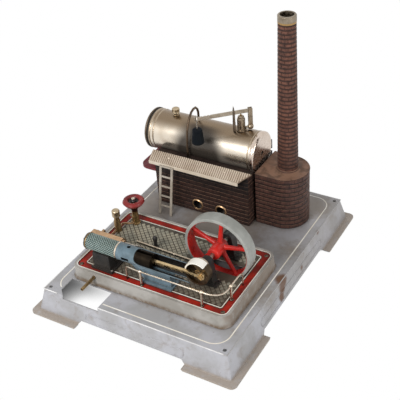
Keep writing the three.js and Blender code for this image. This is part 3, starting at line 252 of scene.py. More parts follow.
class Finish(Nodes):
    """A procedural material on one Principled shader. Its patterns lie in the object's own space."""

    def __init__(self, name):
        self.material = bpy.data.materials.new(name)
        self.material.use_nodes = True
        super().__init__(self.material.node_tree)
        self.shader = self.tree.nodes["Principled BSDF"]
        self.place = self.add("TexCoord").outputs["Object"]
        self.height = None

    def set(self, **values):
        for name, value in values.items():
            self.feed(self.shader.inputs[name.replace("_", " ")], value)

    def noise(self, size, detail=3.0, distortion=0.0):
        """Soft noise of that size, about 0.3 to 0.7."""
        node = self.add("TexNoise")
        self.feed(node.inputs["Vector"], self.place)
        node.inputs["Scale"].default_value = 1 / (size * MM)
        node.inputs["Detail"].default_value = detail
        node.inputs["Roughness"].default_value = 0.6
        node.inputs["Distortion"].default_value = distortion
        return node.outputs["Fac"]

    def axis(self, letter):
        """The object's own coordinate, in millimetres."""
        parts = self.add("SeparateXYZ")
        self.feed(parts.inputs[0], self.place)
        return self.times(parts.outputs[letter], 1 / MM)

    def facing(self, letter):
        """How far the surface faces along an axis, from -1 to 1."""
        parts = self.add("SeparateXYZ")
        self.feed(parts.inputs[0], self.add("NewGeometry").outputs["Normal"])
        return parts.outputs[letter]

    def corners(self, reach):
        """0 in the open and towards 1 where surfaces meet within reach."""
        node = self.add("AmbientOcclusion", samples=4)
        node.inputs["Distance"].default_value = reach * MM
        return self.maths("SUBTRACT", 1.0, node.outputs["AO"])

    def dirt_and_shade(self, reach, size, detail, share):
        """Dirt and painted shade where surfaces meet within reach, broken up by noise."""
        return self.plus(self.corners(reach), self.times(self.noise(size, detail), share))

    def gloss(self, size, detail, smoothest, roughest):
        """Uneven roughness over patches of that size."""
        self.set(Roughness=self.span(self.noise(size, detail), 0.3, 0.7, smoothest, roughest))

    def edges(self, radius):
        """0 on a face and higher on its outer edges."""
        soft = self.add("Bevel", samples=3)
        soft.inputs["Radius"].default_value = radius * MM
        product = self.add("VectorMath", operation="DOT_PRODUCT")
        self.feed(product.inputs[0], soft.outputs["Normal"])
        self.feed(product.inputs[1], self.add("NewGeometry").outputs["Normal"])
        return self.maths("SUBTRACT", 1.0, product.outputs["Value"])

    def near(self, centre, reach, falloff):
        """1 within reach of a point, fading to 0 over the falloff, with a ragged edge."""
        node = self.add("VectorMath", operation="DISTANCE")
        self.feed(node.inputs[0], self.place)
        node.inputs[1].default_value = Vector(centre) * MM
        distance = self.times(node.outputs["Value"], 1 / MM)
        ragged = self.plus(distance, self.times(self.noise(7, 4), falloff * 1.2))
        return self.span(ragged, reach + falloff * 1.5, reach + falloff * 0.3)

    def bump(self, height, depth):
        """Adds relief of that depth to what is there."""
        node = self.add("Bump")
        node.inputs["Distance"].default_value = depth * MM
        self.feed(node.inputs["Height"], height)
        if self.height:
            self.feed(node.inputs["Normal"], self.height)
        self.height = node.outputs["Normal"]
        self.feed(self.shader.inputs["Normal"], self.height)

    def radial(self, centre, across):
        """Distance in millimetres from a line through the centre, measured along the two axes named."""
        squares = []
        for letter in across:
            step = self.maths("SUBTRACT", self.axis(letter), centre["XYZ".index(letter)])
            squares.append(self.times(step, step))
        return self.maths("SQRT", self.plus(*squares))

    def overlay(self, share, colour):
        """Lays a colour over what the surface has so far."""
        base = self.shader.inputs["Base Color"]
        self.feed(base, self.mix(share, base.links[0].from_socket, colour))

    def fade(self, letter, start, full, colour, most=1.0):
        """Lays a colour over the surface that grows along an axis, from none at start to most at full."""
        self.overlay(self.span(self.axis(letter), start, full, 0.0, most), colour)

    def soften(self, radius):
        """Rounds the look of hard edges."""
        node = self.add("Bevel", samples=3)
        node.inputs["Radius"].default_value = radius * MM
        self.height = node.outputs["Normal"]
        self.feed(self.shader.inputs["Normal"], self.height)


# Colour of the grime and painted shade where surfaces meet.
GRIME_AND_SHADE = (0.045, 0.033, 0.024)
RUST = (0.13, 0.065, 0.035)
BARE_STEEL = (0.30, 0.27, 0.24)


def enamel(name, colour, shade, roughness=0.38, grime_and_shade=0.75, wear=0.6, chip=BARE_STEEL, sheen=0.3):
    """Old enamel: two tones, grime and painted shade in the corners, chips at the edges and a slightly
    uneven film.
    """
    finish = Finish(name)
    finish.soften(0.4)
    tone = finish.mix(finish.span(finish.noise(26), 0.36, 0.64), colour, shade)
    # Grime and painted shade where surfaces meet.
    tone = finish.mix(finish.span(finish.dirt_and_shade(5, 5, 5, 0.5), 0.42, 1.0, 0.0, grime_and_shade), tone, GRIME_AND_SHADE)
    worn = finish.plus(finish.times(finish.edges(0.5), 2.2), finish.noise(2.6, 5))
    tone = finish.mix(finish.span(worn, 0.78, 0.9, 0.0, wear), tone, chip)
    finish.set(Base_Color=tone, Specular_IOR_Level=sheen)
    finish.gloss(9, 5, roughness - 0.08, roughness + 0.2)
    finish.bump(finish.noise(1.6, 4), 0.075)
    return finish


def metal(name, colour, tarnish, roughness=0.28, grime_and_shade=0.8, scratches=0.05, patches=0.55):
    """Bare metal: a warm tone with tarnish in patches, grime and painted shade in corners and fine
    scratches.
    """
    finish = Finish(name)
    finish.soften(0.3)
    patchy = finish.span(finish.noise(11, 6, 0.4), 0.38, 0.66, 0.0, patches)
    tone = finish.mix(patchy, colour, tarnish)
    # Grime and painted shade where surfaces meet, which also dulls the metal.
    dirt_and_shade = finish.span(finish.dirt_and_shade(3.5, 3, 5, 0.45), 0.4, 0.95, 0.0, grime_and_shade)
    tone = finish.mix(dirt_and_shade, tone, GRIME_AND_SHADE)
    finish.set(Base_Color=tone, Metallic=finish.span(dirt_and_shade, 0.1, 0.8, 1.0, 0.25))
    finish.gloss(4, 6, roughness - 0.06, roughness + 0.16)
    finish.bump(finish.noise(0.7, 3), scratches)
    return finish


# Where oil and painted shade darken the deck: X, Y, reach and falloff.
OIL_AND_SHADE_PLACES = (
    (10, 45, 60, 50),
    (110, 150, 25, 40),
    (-105, 45, 30, 40),
    (128, 40, 8, 35),
    (142, -62, 2, 40),
)
# Where the stand's right side has rusted: X, Y, Z, reach and falloff.
RUST_PLACES = (
    (145, -24, 36, 9, 6),
    (148, -30, 28, 6, 5),
    (151, -37, 19, 5, 5),
    (150, 30, 20, 2, 4),
    (146, 95, 36, 2, 4),
)


def stand_finish():
    """Silver stand paint, with rust along the foot flange and where the right edge took a knock."""
    finish = Finish("silver_stand_paint")
    finish.soften(1.0)
    clouds = finish.span(finish.noise(45, 4), 0.38, 0.62)
    colour = finish.mix(clouds, (0.46, 0.46, 0.49), (0.37, 0.365, 0.37))
    # Brown smudges in patches, with oil and painted shade at the places listed.
    smudge_and_shade = finish.span(finish.noise(16, 6, 0.6), 0.52, 0.74, 0.0, 0.5)
    for x, y, reach, falloff in OIL_AND_SHADE_PLACES:
        oil_and_shade = finish.near((x, y, DECK), reach, falloff)
        smudge_and_shade = finish.most(smudge_and_shade, finish.times(oil_and_shade, 0.85))
    # Darker brown towards the back, in patches: dirt and painted shade.
    brown_fade = finish.span(finish.axis("Y"), -90, 60, 0.0, 0.55)
    smudge_and_shade = finish.most(smudge_and_shade, finish.times(brown_fade, finish.noise(20, 5)))
    colour = finish.mix(smudge_and_shade, colour, (0.25, 0.21, 0.175))
    # Dirt and painted shade where the stand's surfaces meet.
    dirt_and_shade = finish.span(finish.dirt_and_shade(14, 6, 6, 0.45), 0.4, 0.95, 0.0, 0.75)
    colour = finish.mix(dirt_and_shade, colour, (0.10, 0.075, 0.055))
    low = finish.span(finish.axis("Z"), 7, 1.5)
    flange = finish.times(low, finish.span(finish.noise(9, 6), 0.25, 0.5, 0.35, 1.0))
    colour = finish.mix(flange, colour, (0.37, 0.315, 0.265))
    rust = finish.span(finish.noise(3.2, 6), 0.66, 0.74, 0.0, 0.75)
    for *place, reach, falloff in RUST_PLACES:
        rust = finish.most(rust, finish.near(place, reach, falloff))
    colour = finish.mix(rust, colour, RUST)
    finish.set(Base_Color=colour, Metallic=finish.span(rust, 0, 1, 0.2, 0.0))
    finish.gloss(8, 5, 0.36, 0.55)
    finish.bump(finish.noise(2.2, 4), 0.09)
    return finish


def fold_highlight_finish():
    """The stand's upper fold: a painted highlight along the front and left, and dull along the right."""
    # Near-white paint for the light caught along the rounded fold: a painted highlight.
    finish = enamel("fold_highlight_paint", (0.86, 0.85, 0.84), (0.66, 0.65, 0.64), 0.32, 0.35, 0.4)
    edge = stand.high.x - SKIRT
    finish.fade("X", edge - 8, edge - 3, (0.34, 0.33, 0.32), 0.85)
    return finish


def bed_finish():
    """Grey-green bed paint, browner towards the deck."""
    chip = (0.16, 0.10, 0.06)
    finish = enamel("bed_paint", (0.41, 0.39, 0.36), (0.31, 0.29, 0.26), 0.36, 0.8, 0.6, chip)
    low = finish.span(finish.axis("Z"), DECK + 8, DECK + 1)
    brown_fade = finish.times(low, finish.span(finish.noise(8, 5), 0.3, 0.6, 0.3, 0.95))
    finish.overlay(brown_fade, (0.16, 0.11, 0.07))
    right = finish.span(finish.facing("X"), 0.3, 0.9, 0.0, 0.6)
    finish.overlay(finish.times(right, finish.span(finish.noise(10, 4), 0.2, 0.6)), (0.22, 0.155, 0.11))
    return finish


def brick_finish(name, colour, shade, roof):
    """Brown brick paint: reddish and dark patches, and a browner roof."""
    finish = Finish(name)
    finish.soften(0.35)
    tone = finish.mix(finish.span(finish.noise(13, 5), 0.36, 0.64), colour, shade)
    single = finish.span(finish.noise(5, 2), 0.35, 0.65, 0.0, 0.5)
    tone = finish.mix(single, tone, tuple(c * 1.7 for c in colour))
    top = finish.span(finish.facing("Z"), 0.6, 0.9)
    roof_patches = finish.span(finish.noise(18, 6, 0.5), 0.42, 0.62)
    tone = finish.mix(top, tone, finish.mix(roof_patches, roof, tuple(c * 0.5 for c in roof)))
    # Dirt and painted shade where the brickwork's surfaces meet.
    dirt_and_shade = finish.span(finish.dirt_and_shade(5, 7, 6, 0.45), 0.4, 0.95, 0.0, 0.8)
    tone = finish.mix(dirt_and_shade, tone, (0.018, 0.013, 0.012))
    finish.set(Base_Color=tone, Specular_IOR_Level=0.22)
    finish.gloss(6, 5, 0.38, 0.62)
    finish.bump(finish.noise(1.2, 4), 0.09)
    return finish


def house_finish(name, colour, shade, roof):
    """Brick paint with a painted shadow under the canopy, high on the front faces."""
    finish = brick_finish(name, colour, shade, roof)
    # Painted shadow of the canopy on the front walls, darkest just under it.
    high = finish.span(finish.axis("Z"), canopy.low.z - 34, canopy.low.z - 6, 0.0, 0.93)
    front = finish.span(finish.facing("Y"), 0.0, -0.7)
    finish.overlay(finish.times(high, front), (0.008, 0.007, 0.007))
    return finish


def stack_finish(name, colour, shade, roof):
    """The chimney's brick paint, darker towards its foot."""
    finish = brick_finish(name, colour, shade, roof)
    finish.fade("Z", stack.low.z + 70, stack.low.z, (0.03, 0.016, 0.013), 0.45)
    return finish


BURN_CENTRE = (-44, 120)  # X and Z of the burnt patch on the boiler's front
BURN_RADII = (46, 62)


def boiler_finish():
    """Satin nickel gone warm, with a painted dark reflection browner on the ridge and low along the front,
    and a burnt patch low on the front.
    """
    finish = Finish("boiler_nickel")
    finish.soften(0.3)
    tone = finish.mix(finish.span(finish.noise(34, 2), 0.4, 0.64), (0.76, 0.68, 0.57), (0.64, 0.55, 0.44))
    finish.set(Base_Color=tone)
    finish.gloss(22, 2, 0.24, 0.32)
    # Browner towards the ridge: a painted dark reflection.
    finish.fade("Z", boiler.middle.z + 15, boiler.high.z - 3, (0.23, 0.165, 0.105), 0.95)
    steps = []
    for letter, middle, radius in zip("XZ", BURN_CENTRE, BURN_RADII):
        step = finish.maths("DIVIDE", finish.maths("SUBTRACT", finish.axis(letter), middle), radius)
        steps.append(finish.times(step, step))
    spread = finish.maths("SQRT", finish.plus(*steps))
    ragged = finish.plus(spread, finish.times(finish.noise(40, 1), 0.3))
    front = finish.span(finish.axis("Y"), boiler.middle.y - 4, boiler.middle.y - 14)
    burnt = finish.times(finish.span(ragged, 1.3, 0.8, 0.0, 0.95), front)
    # A dark band low on the front: a painted dark reflection.
    low_dark_reflection = finish.span(finish.axis("Z"), boiler.middle.z - 3, boiler.middle.z - 15, 0.0, 0.8)
    # From here on, burnt holds the soot patch and the painted dark reflection together.
    burnt = finish.most(burnt, finish.times(low_dark_reflection, front))
    finish.overlay(burnt, (0.035, 0.027, 0.021))
    finish.set(Metallic=finish.maths("SUBTRACT", 0.97, finish.times(burnt, 0.6)))
    return finish


def guide_finish():
    """Steel-blue enamel outside the engine's trunk guide, and nearly black inside its bore."""
    chip = (0.42, 0.39, 0.33)
    finish = enamel("guide_blue_paint", (0.155, 0.225, 0.27), (0.10, 0.145, 0.17), 0.25, 0.8, 0.7, chip)
    inside = finish.span(finish.radial(cladding.middle, "YZ"), 11.7, 11.0)
    finish.overlay(inside, (0.012, 0.010, 0.009))
    return finish


def handwheel_finish():
    """Dull red on the rim and nearly black in the sunk web."""
    chip = (0.1, 0.05, 0.04)
    finish = enamel("handwheel_paint", (0.27, 0.022, 0.02), (0.16, 0.018, 0.018), 0.3, 0.7, 0.5, chip)
    finish.overlay(finish.span(finish.radial(handwheel.middle, "XY"), 8.0, 7.0), (0.016, 0.010, 0.009))
    return finish


def column_finish():
    """The regulator's brass, painted dark red round its top."""
    finish = metal("regulator_brass", (0.36, 0.24, 0.11), (0.13, 0.08, 0.04), 0.3)
    finish.fade("Z", TREAD + 21, TREAD + 23, (0.05, 0.014, 0.012))
    return finish


def rail_finish():
    """Bright drawn steel, dull and darker at the feet."""
    finish = metal("rail_steel", (0.64, 0.56, 0.46), (0.36, 0.27, 0.17), 0.22, 0.6, 0.02, 0.5)
    finish.fade("Z", BED_FLOOR + 6, BED_FLOOR + 2, (0.10, 0.075, 0.055))
    return finish


def chimney_cap_finish():
    """Smoked nickel over a brass lower edge."""
    finish = metal("smoked_nickel", (0.30, 0.25, 0.19), (0.13, 0.10, 0.07), 0.3)
    finish.fade("Z", stack.high.z + 2.6, stack.high.z + 2.2, (0.38, 0.24, 0.10))
    return finish


def glass_finish():
    finish = Finish("gauge_glass")
    finish.set(Base_Color=(0.86, 0.92, 0.9), Transmission_Weight=0.85, IOR=1.5)
    finish.set(Roughness=finish.span(finish.noise(9, 5), 0.4, 0.7, 0.03, 0.22))
    finish.bump(finish.noise(12, 2), 0.02)
    return finish


def add_grease(finish):
    """Old oil over the bed plate's front and round the crank."""
    grease = finish.span(finish.axis("Y"), -96, -112, 0.0, 0.7)
    round_crank = finish.near((disc.middle.x, disc.middle.y, TREAD), 24, 26)
    grease = finish.most(grease, finish.times(round_crank, 0.75))
    finish.overlay(grease, (0.055, 0.036, 0.024))


BROWN_CHIP = (0.2, 0.12, 0.08)
DARK_CHIP = (0.09, 0.05, 0.04)
PALE_CHIP = (0.3, 0.25, 0.2)
SCALE_CHIP = (0.5, 0.5, 0.4)

# Each paint's name, colour, shade, roughness, grime with painted corner shade, and wear, then what its chips
# show and its sheen.
PAINTS = {
    "tread": ("plate_ground", (0.05, 0.042, 0.032), (0.09, 0.078, 0.056), 0.4, 0.5, 0.3),
    "diamond": ("plate_diamonds", (0.45, 0.41, 0.31), (0.29, 0.28, 0.22), 0.4, 0.5, 0.5, DARK_CHIP),
    "cream": ("canopy_paint", (0.30, 0.22, 0.155), (0.23, 0.165, 0.115), 0.36, 0.7, 0.7, BROWN_CHIP),
    # The ribs and the lip are lighter copies of the canopy's paint: painted highlight.
    "rib": ("canopy_rib_highlight_paint", (0.64, 0.54, 0.43), (0.52, 0.42, 0.32), 0.34, 0.6, 0.5, BROWN_CHIP),
    "lip": ("canopy_lip_highlight_paint", (0.76, 0.67, 0.55), (0.64, 0.54, 0.42), 0.36, 0.4, 0.5, BROWN_CHIP),
    "line": ("cream_line", (0.94, 0.91, 0.84), (0.80, 0.74, 0.63), 0.4, 0.2, 0.2, PALE_CHIP),
    "floor_red": ("bed_red_paint", (0.4, 0.02, 0.01), (0.2, 0.016, 0.01), 0.4, 0.95, 0.35, DARK_CHIP, 0.14),
    "wheel_red": ("wheel_red_paint", (0.62, 0.025, 0.018), (0.42, 0.02, 0.016), 0.26, 0.6, 0.3, BROWN_CHIP),
    "wheel_rim": ("wheel_rim_paint", (0.36, 0.365, 0.34), (0.28, 0.285, 0.26), 0.34, 0.4, 0.4, BROWN_CHIP),
    "awning_red": ("awning_paint", (0.22, 0.022, 0.028), (0.14, 0.015, 0.02), 0.34, 0.7, 0.4, DARK_CHIP),
    # A near-black and a light copy of one paint: painted shade between the scales and painted highlight on
    # them.
    "cladding": ("cladding_paint", (0.011, 0.017, 0.017), (0.008, 0.012, 0.012), 0.34, 0.6, 0.5, BROWN_CHIP),
    "scale": ("cladding_scale_highlight_paint", (0.26, 0.35, 0.33), (0.19, 0.26, 0.235), 0.28, 0.25, 0.6, SCALE_CHIP),
    "black": ("black_paint", (0.014, 0.015, 0.016), (0.03, 0.027, 0.024), 0.32, 0.4, 0.5, DARK_CHIP),
    "weight": ("weight_paint", (0.004, 0.006, 0.01), (0.008, 0.01, 0.012), 0.5, 0.3, 0.2, DARK_CHIP, 0.05),
    "rubber": ("gasket_rubber", (0.02, 0.018, 0.015), (0.04, 0.034, 0.028), 0.7, 0.4, 0.2, DARK_CHIP),
    "ladder": ("ladder_paint", (0.50, 0.45, 0.38), (0.36, 0.31, 0.25), 0.36, 0.7, 0.6, BROWN_CHIP),
}

# Each metal's name, colour and tarnish, then its roughness, grime with painted corner shade, scratches and
# patches.
METALS = {
    "nickel": ("worn_nickel", (0.50, 0.42, 0.32), (0.28, 0.21, 0.14), 0.26),
    "lever": ("dull_nickel", (0.42, 0.36, 0.28), (0.20, 0.155, 0.11), 0.3),
    "valve": ("smoky_nickel", (0.36, 0.29, 0.21), (0.15, 0.115, 0.08), 0.28),
    "seam": ("seam_nickel", (0.42, 0.34, 0.25), (0.25, 0.185, 0.125), 0.28),
    "cap_nickel": ("end_cap_nickel", (0.66, 0.56, 0.48), (0.48, 0.38, 0.30), 0.2, 0.6, 0.01, 0.4),
    "steel": ("old_steel", (0.45, 0.41, 0.36), (0.22, 0.17, 0.12), 0.3),
    "dark_steel": ("burnt_steel", (0.17, 0.13, 0.095), (0.06, 0.045, 0.034), 0.34),
    "brass": ("old_brass", (0.56, 0.38, 0.17), (0.27, 0.16, 0.065), 0.26),
    "cap_brass": ("pale_brass", (0.52, 0.42, 0.28), (0.28, 0.21, 0.13), 0.28),
    "dark_brass": ("oily_brass", (0.30, 0.20, 0.095), (0.11, 0.07, 0.036), 0.32),
    "pipe": ("burnt_pipe", (0.13, 0.09, 0.06), (0.05, 0.036, 0.027), 0.34),
    "copper": ("old_copper", (0.42, 0.27, 0.15), (0.17, 0.10, 0.055), 0.3),
    "chest": ("chest_bronze", (0.52, 0.34, 0.20), (0.30, 0.18, 0.10), 0.36, 0.6, 0.05, 0.6),
    "disc": ("black_oiled_brass", (0.10, 0.07, 0.04), (0.03, 0.022, 0.016), 0.34),
    "crosshead": ("trough_brass", (0.016, 0.012, 0.008), (0.008, 0.006, 0.005), 0.45),
    "rod": ("rod_brass", (0.66, 0.50, 0.28), (0.40, 0.28, 0.14), 0.24, 0.6),
}


def brick_finishes():
    joint = (0.012, 0.008, 0.008)
    roof = (0.24, 0.135, 0.088)
    stack_top = (0.12, 0.07, 0.05)
    joint_top = (0.1, 0.06, 0.045)
    return {
        # The house's brick is a darker copy of the tower's: painted shade.
        "brick": house_finish("house_brick_shaded_paint", (0.036, 0.017, 0.013), (0.019, 0.011, 0.009), roof),
        # The house's joints are dark; its roof colour is a dark copy of the roof's: painted shade.
        "mortar": house_finish("house_joints_and_shaded_roof", (0.014, 0.009, 0.008), joint, (0.035, 0.022, 0.018)),
        "tower": brick_finish("tower_brick_paint", (0.068, 0.031, 0.023), (0.038, 0.020, 0.017), roof),
        "tower_roof": brick_finish("tower_roof_paint", (0.018, 0.010, 0.009), joint, roof),
        "stack": stack_finish("stack_paint", (0.125, 0.054, 0.036), (0.075, 0.034, 0.025), stack_top),
        "stack_joint": stack_finish("stack_joints", (0.04, 0.019, 0.015), (0.026, 0.013, 0.010), joint_top),
    }


def special_finishes():
    return {
        "stand": stand_finish(),
        "fold": fold_highlight_finish(),
        "bed": bed_finish(),
        "boiler": boiler_finish(),
        "glass": glass_finish(),
        "blue": guide_finish(),
        "dull_red": handwheel_finish(),
        "column": column_finish(),
        "rail": rail_finish(),
        "chimney_cap": chimney_cap_finish(),
    }


def make_finishes():
    finishes = {key: enamel(*look) for key, look in PAINTS.items()}
    finishes |= {key: metal(*look) for key, look in METALS.items()}
    finishes |= brick_finishes()
    finishes |= special_finishes()
    for key in ("tread", "diamond"):
        add_grease(finishes[key])
    return {key: finish.material for key, finish in finishes.items()}


# The finish of each CAD node. Those not named here are in plain steel.
CAD_FINISHES = {
    "stand": ["base_plate"],
    "bed": ["engine_bed"],
    "tread": ["tread_plate"],
    "mortar": ["boiler_house"],
    "tower_roof": ["chimney_house"],
    "stack_joint": ["chimney_stack"],
    "chimney_cap": ["chimney_cap"],
    "cream": ["canopy"],
    "awning_red": ["fire_door_awning"],
    "ladder": ["ladder"],
    "boiler": ["boiler_shell"],
    "cap_nickel": ["boiler_end_cap"],
    "rubber": ["gauge_gasket"],
    "glass": ["gauge_glass"],
    "black": [
        "level_tap", "cylinder_rear_cover", "cylinder_pedestal", "front_bearing", "rear_bearing",
        "bollard", "burner_tray",
    ],
    "weight": ["valve_weight"],
    "valve": ["safety_valve_body", "lever_pivot_post"],
    "lever": ["safety_lever"],
    "pipe": ["steam_pipe"],
    "cladding": ["cylinder_cladding"],
    "rail": ["cylinder_front_cover", "handrail"],
    "chest": ["valve_chest"],
    "copper": ["porthole_ring_1", "porthole_ring_2", "steam_inlet_pipe"],
    "column": ["regulator_valve"],
    "dull_red": ["regulator_handwheel"],
    "dark_brass": ["lubricator_body", "exhaust_pipe"],
    "brass": ["safety_valve_stem", "lubricator_cap", "crank_pin", "filler_plug"],
    "disc": ["crank_disc"],
    "nickel": ["eccentric_rod"],
    "rod": ["connecting_rod"],
    "crosshead": ["crosshead"],
    "blue": ["trunk_guide"],
    "wheel_red": ["flywheel"],
    "dark_steel": [
        "gauge_bezel", "lever_guide", "bed_screw_1", "bed_screw_2", "bed_screw_3", "bed_screw_4",
    ],
}
DEFAULT_FINISH = "steel"
SMOOTH_ANGLE = math.radians(36)


def smoothing_group():
    """A modifier that welds a CAD node's triangles and shades smooth all but its hard edges."""
    group = bpy.data.node_groups.new("weld_and_smooth", "GeometryNodeTree")
    group.interface.new_socket("Geometry", in_out="INPUT", socket_type="NodeSocketGeometry")
    group.interface.new_socket("Geometry", in_out="OUTPUT", socket_type="NodeSocketGeometry")
    start = group.nodes.new("NodeGroupInput")
    weld = group.nodes.new("GeometryNodeMergeByDistance")
    weld.inputs["Distance"].default_value = 0.01 * MM
    faces = group.nodes.new("GeometryNodeSetShadeSmooth")
    edges = group.nodes.new("GeometryNodeSetShadeSmooth")
    edges.domain = "EDGE"
    edges.inputs["Shade Smooth"].default_value = False
    angle = group.nodes.new("GeometryNodeInputMeshEdgeAngle")
    hard = group.nodes.new("FunctionNodeCompare")
    hard.operation = "GREATER_THAN"
    hard.inputs[1].default_value = SMOOTH_ANGLE
    end = group.nodes.new("NodeGroupOutput")
    group.links.new(start.outputs[0], weld.inputs["Geometry"])
    group.links.new(weld.outputs["Geometry"], faces.inputs["Geometry"])
    group.links.new(faces.outputs["Geometry"], edges.inputs["Geometry"])
    group.links.new(angle.outputs["Unsigned Angle"], hard.inputs[0])
    group.links.new(hard.outputs["Result"], edges.inputs["Selection"])
    group.links.new(edges.outputs["Geometry"], end.inputs[0])
    return group


def finish_cad_nodes():
    group = smoothing_group()
    keys = {name: key for key, names in CAD_FINISHES.items() for name in names}
    for name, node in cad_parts.items():
        node.data.materials.clear()
        node.data.materials.append(FINISHES[keys.get(name, DEFAULT_FINISH)])
        node.modifiers.new("weld_and_smooth", "NODES").node_group = group


# ---------------------------------------------------------------- mesh building


class Shape:
    """Closed shells in millimetres, gathered before they become one piece."""

    def __init__(self):
        self.points = []
        self.faces = []
        self.paints = []

    def add(self, points, faces, paint=0):
        start = len(self.points)
        self.points += [Vector(p) for p in points]
        self.faces += [[start + i for i in face] for face in faces]
        self.paints += [paint] * len(faces)

    def loft(self, loops, around=False, paint=0):
        """A skin over loops of equal length. It closes on itself with around, and has flat ends without."""
        count = len(loops[0])
        rows = len(loops)
        faces = []
        for row in range(rows if around else rows - 1):
            after = (row + 1) % rows
            for i in range(count):
                j = (i + 1) % count
                faces.append((row * count + i, row * count + j, after * count + j, after * count + i))
        if not around:
            faces.append(tuple(range(count)))
            faces.append(tuple((rows - 1) * count + i for i in reversed(range(count))))
        self.add([p for loop in loops for p in loop], faces, paint)

    def turned(self, centre, axis, profile, sides=48, paint=0, around=False):
        """A solid of revolution from (radius, height) points along an axis, a closed ring with around."""
        turn = Vector(axis).to_track_quat("Z", "Y").to_matrix()
        angles = [TURN * i / sides for i in range(sides)]
        loops = []
        for radius, height in profile:
            ring = [(radius * math.cos(a), radius * math.sin(a), height) for a in angles]
            loops.append([Vector(centre) + turn @ Vector(p) for p in ring])
        self.loft(loops, around, paint)

    def tube(self, path, radius, sides=8, closed=False, paint=0, flatten=1.0):
        """A bar along a path, round or flattened from above."""
        angles = [TURN * k / sides for k in range(sides)]
        loops = []
        count = len(path)
        for i, p in enumerate(path):
            before = path[(i - 1) % count] if closed or i else p
            after = path[(i + 1) % count] if closed or i < count - 1 else p
            ahead = (Vector(after) - Vector(before)).normalized()
            up = UP if abs(ahead.dot(UP)) < 0.98 else BACK
            side = ahead.cross(up).normalized()
            rise = side.cross(ahead)
            across, over = side * radius, rise * radius * flatten
            loops.append([Vector(p) + across * math.cos(a) + over * math.sin(a) for a in angles])
        self.loft(loops, closed, paint)

    def slab(self, low, high, edge=0.4, paint=0):
        """A block between two corners, with chamfers round its top and bottom."""
        (x0, y0, z0), (x1, y1, z1) = low, high
        loops = []
        for z, inset in ((z0, edge), (z0 + edge, 0), (z1 - edge, 0), (z1, edge)):
            a, b, c, d = x0 + inset, x1 - inset, y0 + inset, y1 - inset
            loops.append([(a, c, z), (b, c, z), (b, d, z), (a, d, z)])
        self.loft(loops, paint=paint)

    def ribbon(self, path, width, low, high, closed=False, paint=0):
        """A flat strip on the level that follows a path of (x, y) points."""
        loops = []
        count = len(path)
        for i in range(count):
            before = Vector(path[(i - 1) % count] if closed or i else path[i])
            after = Vector(path[(i + 1) % count] if closed or i < count - 1 else path[i])
            ahead = (after - before).normalized()
            x, y = path[i]
            dx, dy = -ahead.y * width / 2, ahead.x * width / 2
            left, right = (x + dx, y + dy), (x - dx, y - dy)
            loops.append([(*left, low), (*right, low), (*right, high), (*left, high)])
        self.loft(loops, closed, paint)

    def pad(self, place, u, v, rise, slope, sink=0.3, steps=1, paint=0):
        """A raised tile on a surface: place(along, up, out) gives its points, u and v are its (from, to)."""
        (u0, u1), (v0, v1) = u, v
        stations = [(u0, 0.25)]
        for i in range(steps + 1):
            stations.append((u0 + slope + (u1 - u0 - 2 * slope) * i / steps, 1.0))
        stations.append((u1, 0.25))
        loops = []
        for along, share in stations:
            loops.append([
                place(along, v0, -sink),
                place(along, v0 + slope, rise * share),
                place(along, v1 - slope, rise * share),
                place(along, v1, -sink),
            ])
        self.loft(loops, paint=paint)

    def piece(self, name, finishes, body="root", replaces=(), angle=36):
        """Turns what was gathered into a Blender piece that rides on a CAD body."""
        mesh = bpy.data.meshes.new(name)
        mesh.from_pydata([p * MM for p in self.points], [], self.faces)
        for key in finishes:
            mesh.materials.append(FINISHES[key])
        mesh.polygons.foreach_set("material_index", self.paints)
        work = bmesh.new()
        work.from_mesh(mesh)
        bmesh.ops.recalc_face_normals(work, faces=work.faces)
        work.to_mesh(mesh)
        work.free()
        mesh.shade_smooth()
        mesh.set_sharp_from_angle(angle=math.radians(angle))
        made = bpy.data.objects.new(name, mesh)
        bpy.context.scene.collection.objects.link(made)
        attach(made, body)
        if replaces:
            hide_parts(*replaces)
        return made


def arc(cx, cy, radius, start, end, steps):
    """Points on a circle from one angle to another, in degrees."""
    angles = [math.radians(start + (end - start) * i / steps) for i in range(steps + 1)]
    return [(cx + radius * math.cos(a), cy + radius * math.sin(a)) for a in angles]


def rounded_rectangle(box, inset, radius, steps=6):
    """A loop of points inside a node's box, from its front right corner anticlockwise."""
    x0, y0 = box.low.x + inset, box.low.y + inset
    x1, y1 = box.high.x - inset, box.high.y - inset
    r = radius
    return (
        arc(x1 - r, y0 + r, r, -90, 0, steps)
        + arc(x1 - r, y1 - r, r, 0, 90, steps)
        + arc(x0 + r, y1 - r, r, 90, 180, steps)
        + arc(x0 + r, y0 + r, r, 180, 270, steps)
    )


# ---------------------------------------------------------------- brickwork

COURSE = 7.1
BRICK = 13.0
COURSE_JOINT = 2.0
BUTT_JOINT = 0.4
BRICK_RISE = 0.55
BRICK_SLOPE = 0.35
STACK_BRICKS = 9
STACK_COURSES = 37
STACK_TAPER = 12 / 14.7  # radius at the top over the radius at the foot
DOOR_HEIGHT = 39.5
DOOR_HALF = 22
CRADLE_GAP = 0.8  # between the bricks and the boiler
ROLL_RADIUS = 0.9
TOWER_RADIUS = tower.size.y / 2
TOWER_STRAIGHT = tower.size.x - TOWER_RADIUS
TOWER_LENGTH = 2 * TOWER_STRAIGHT + math.pi * TOWER_RADIUS  # round the outline, but for its left side


def clear_parts(start, end, gaps):
    """What is left of an interval outside the gaps."""
    parts = [(start, end)]
    for low, high in gaps:
        left = [(a, min(b, low)) for a, b in parts if a < low]
        right = [(max(a, high), b) for a, b in parts if b > high]
        parts = left + right
    return [(a, b) for a, b in parts if b - a > 3 * BRICK_SLOPE]


def chord(centre, height, radius, level):
    """Where a circle crosses a level, as an interval, or none."""
    rise = radius ** 2 - (level - height) ** 2
    return [(centre - math.sqrt(rise), centre + math.sqrt(rise))] if rise > 0 else []


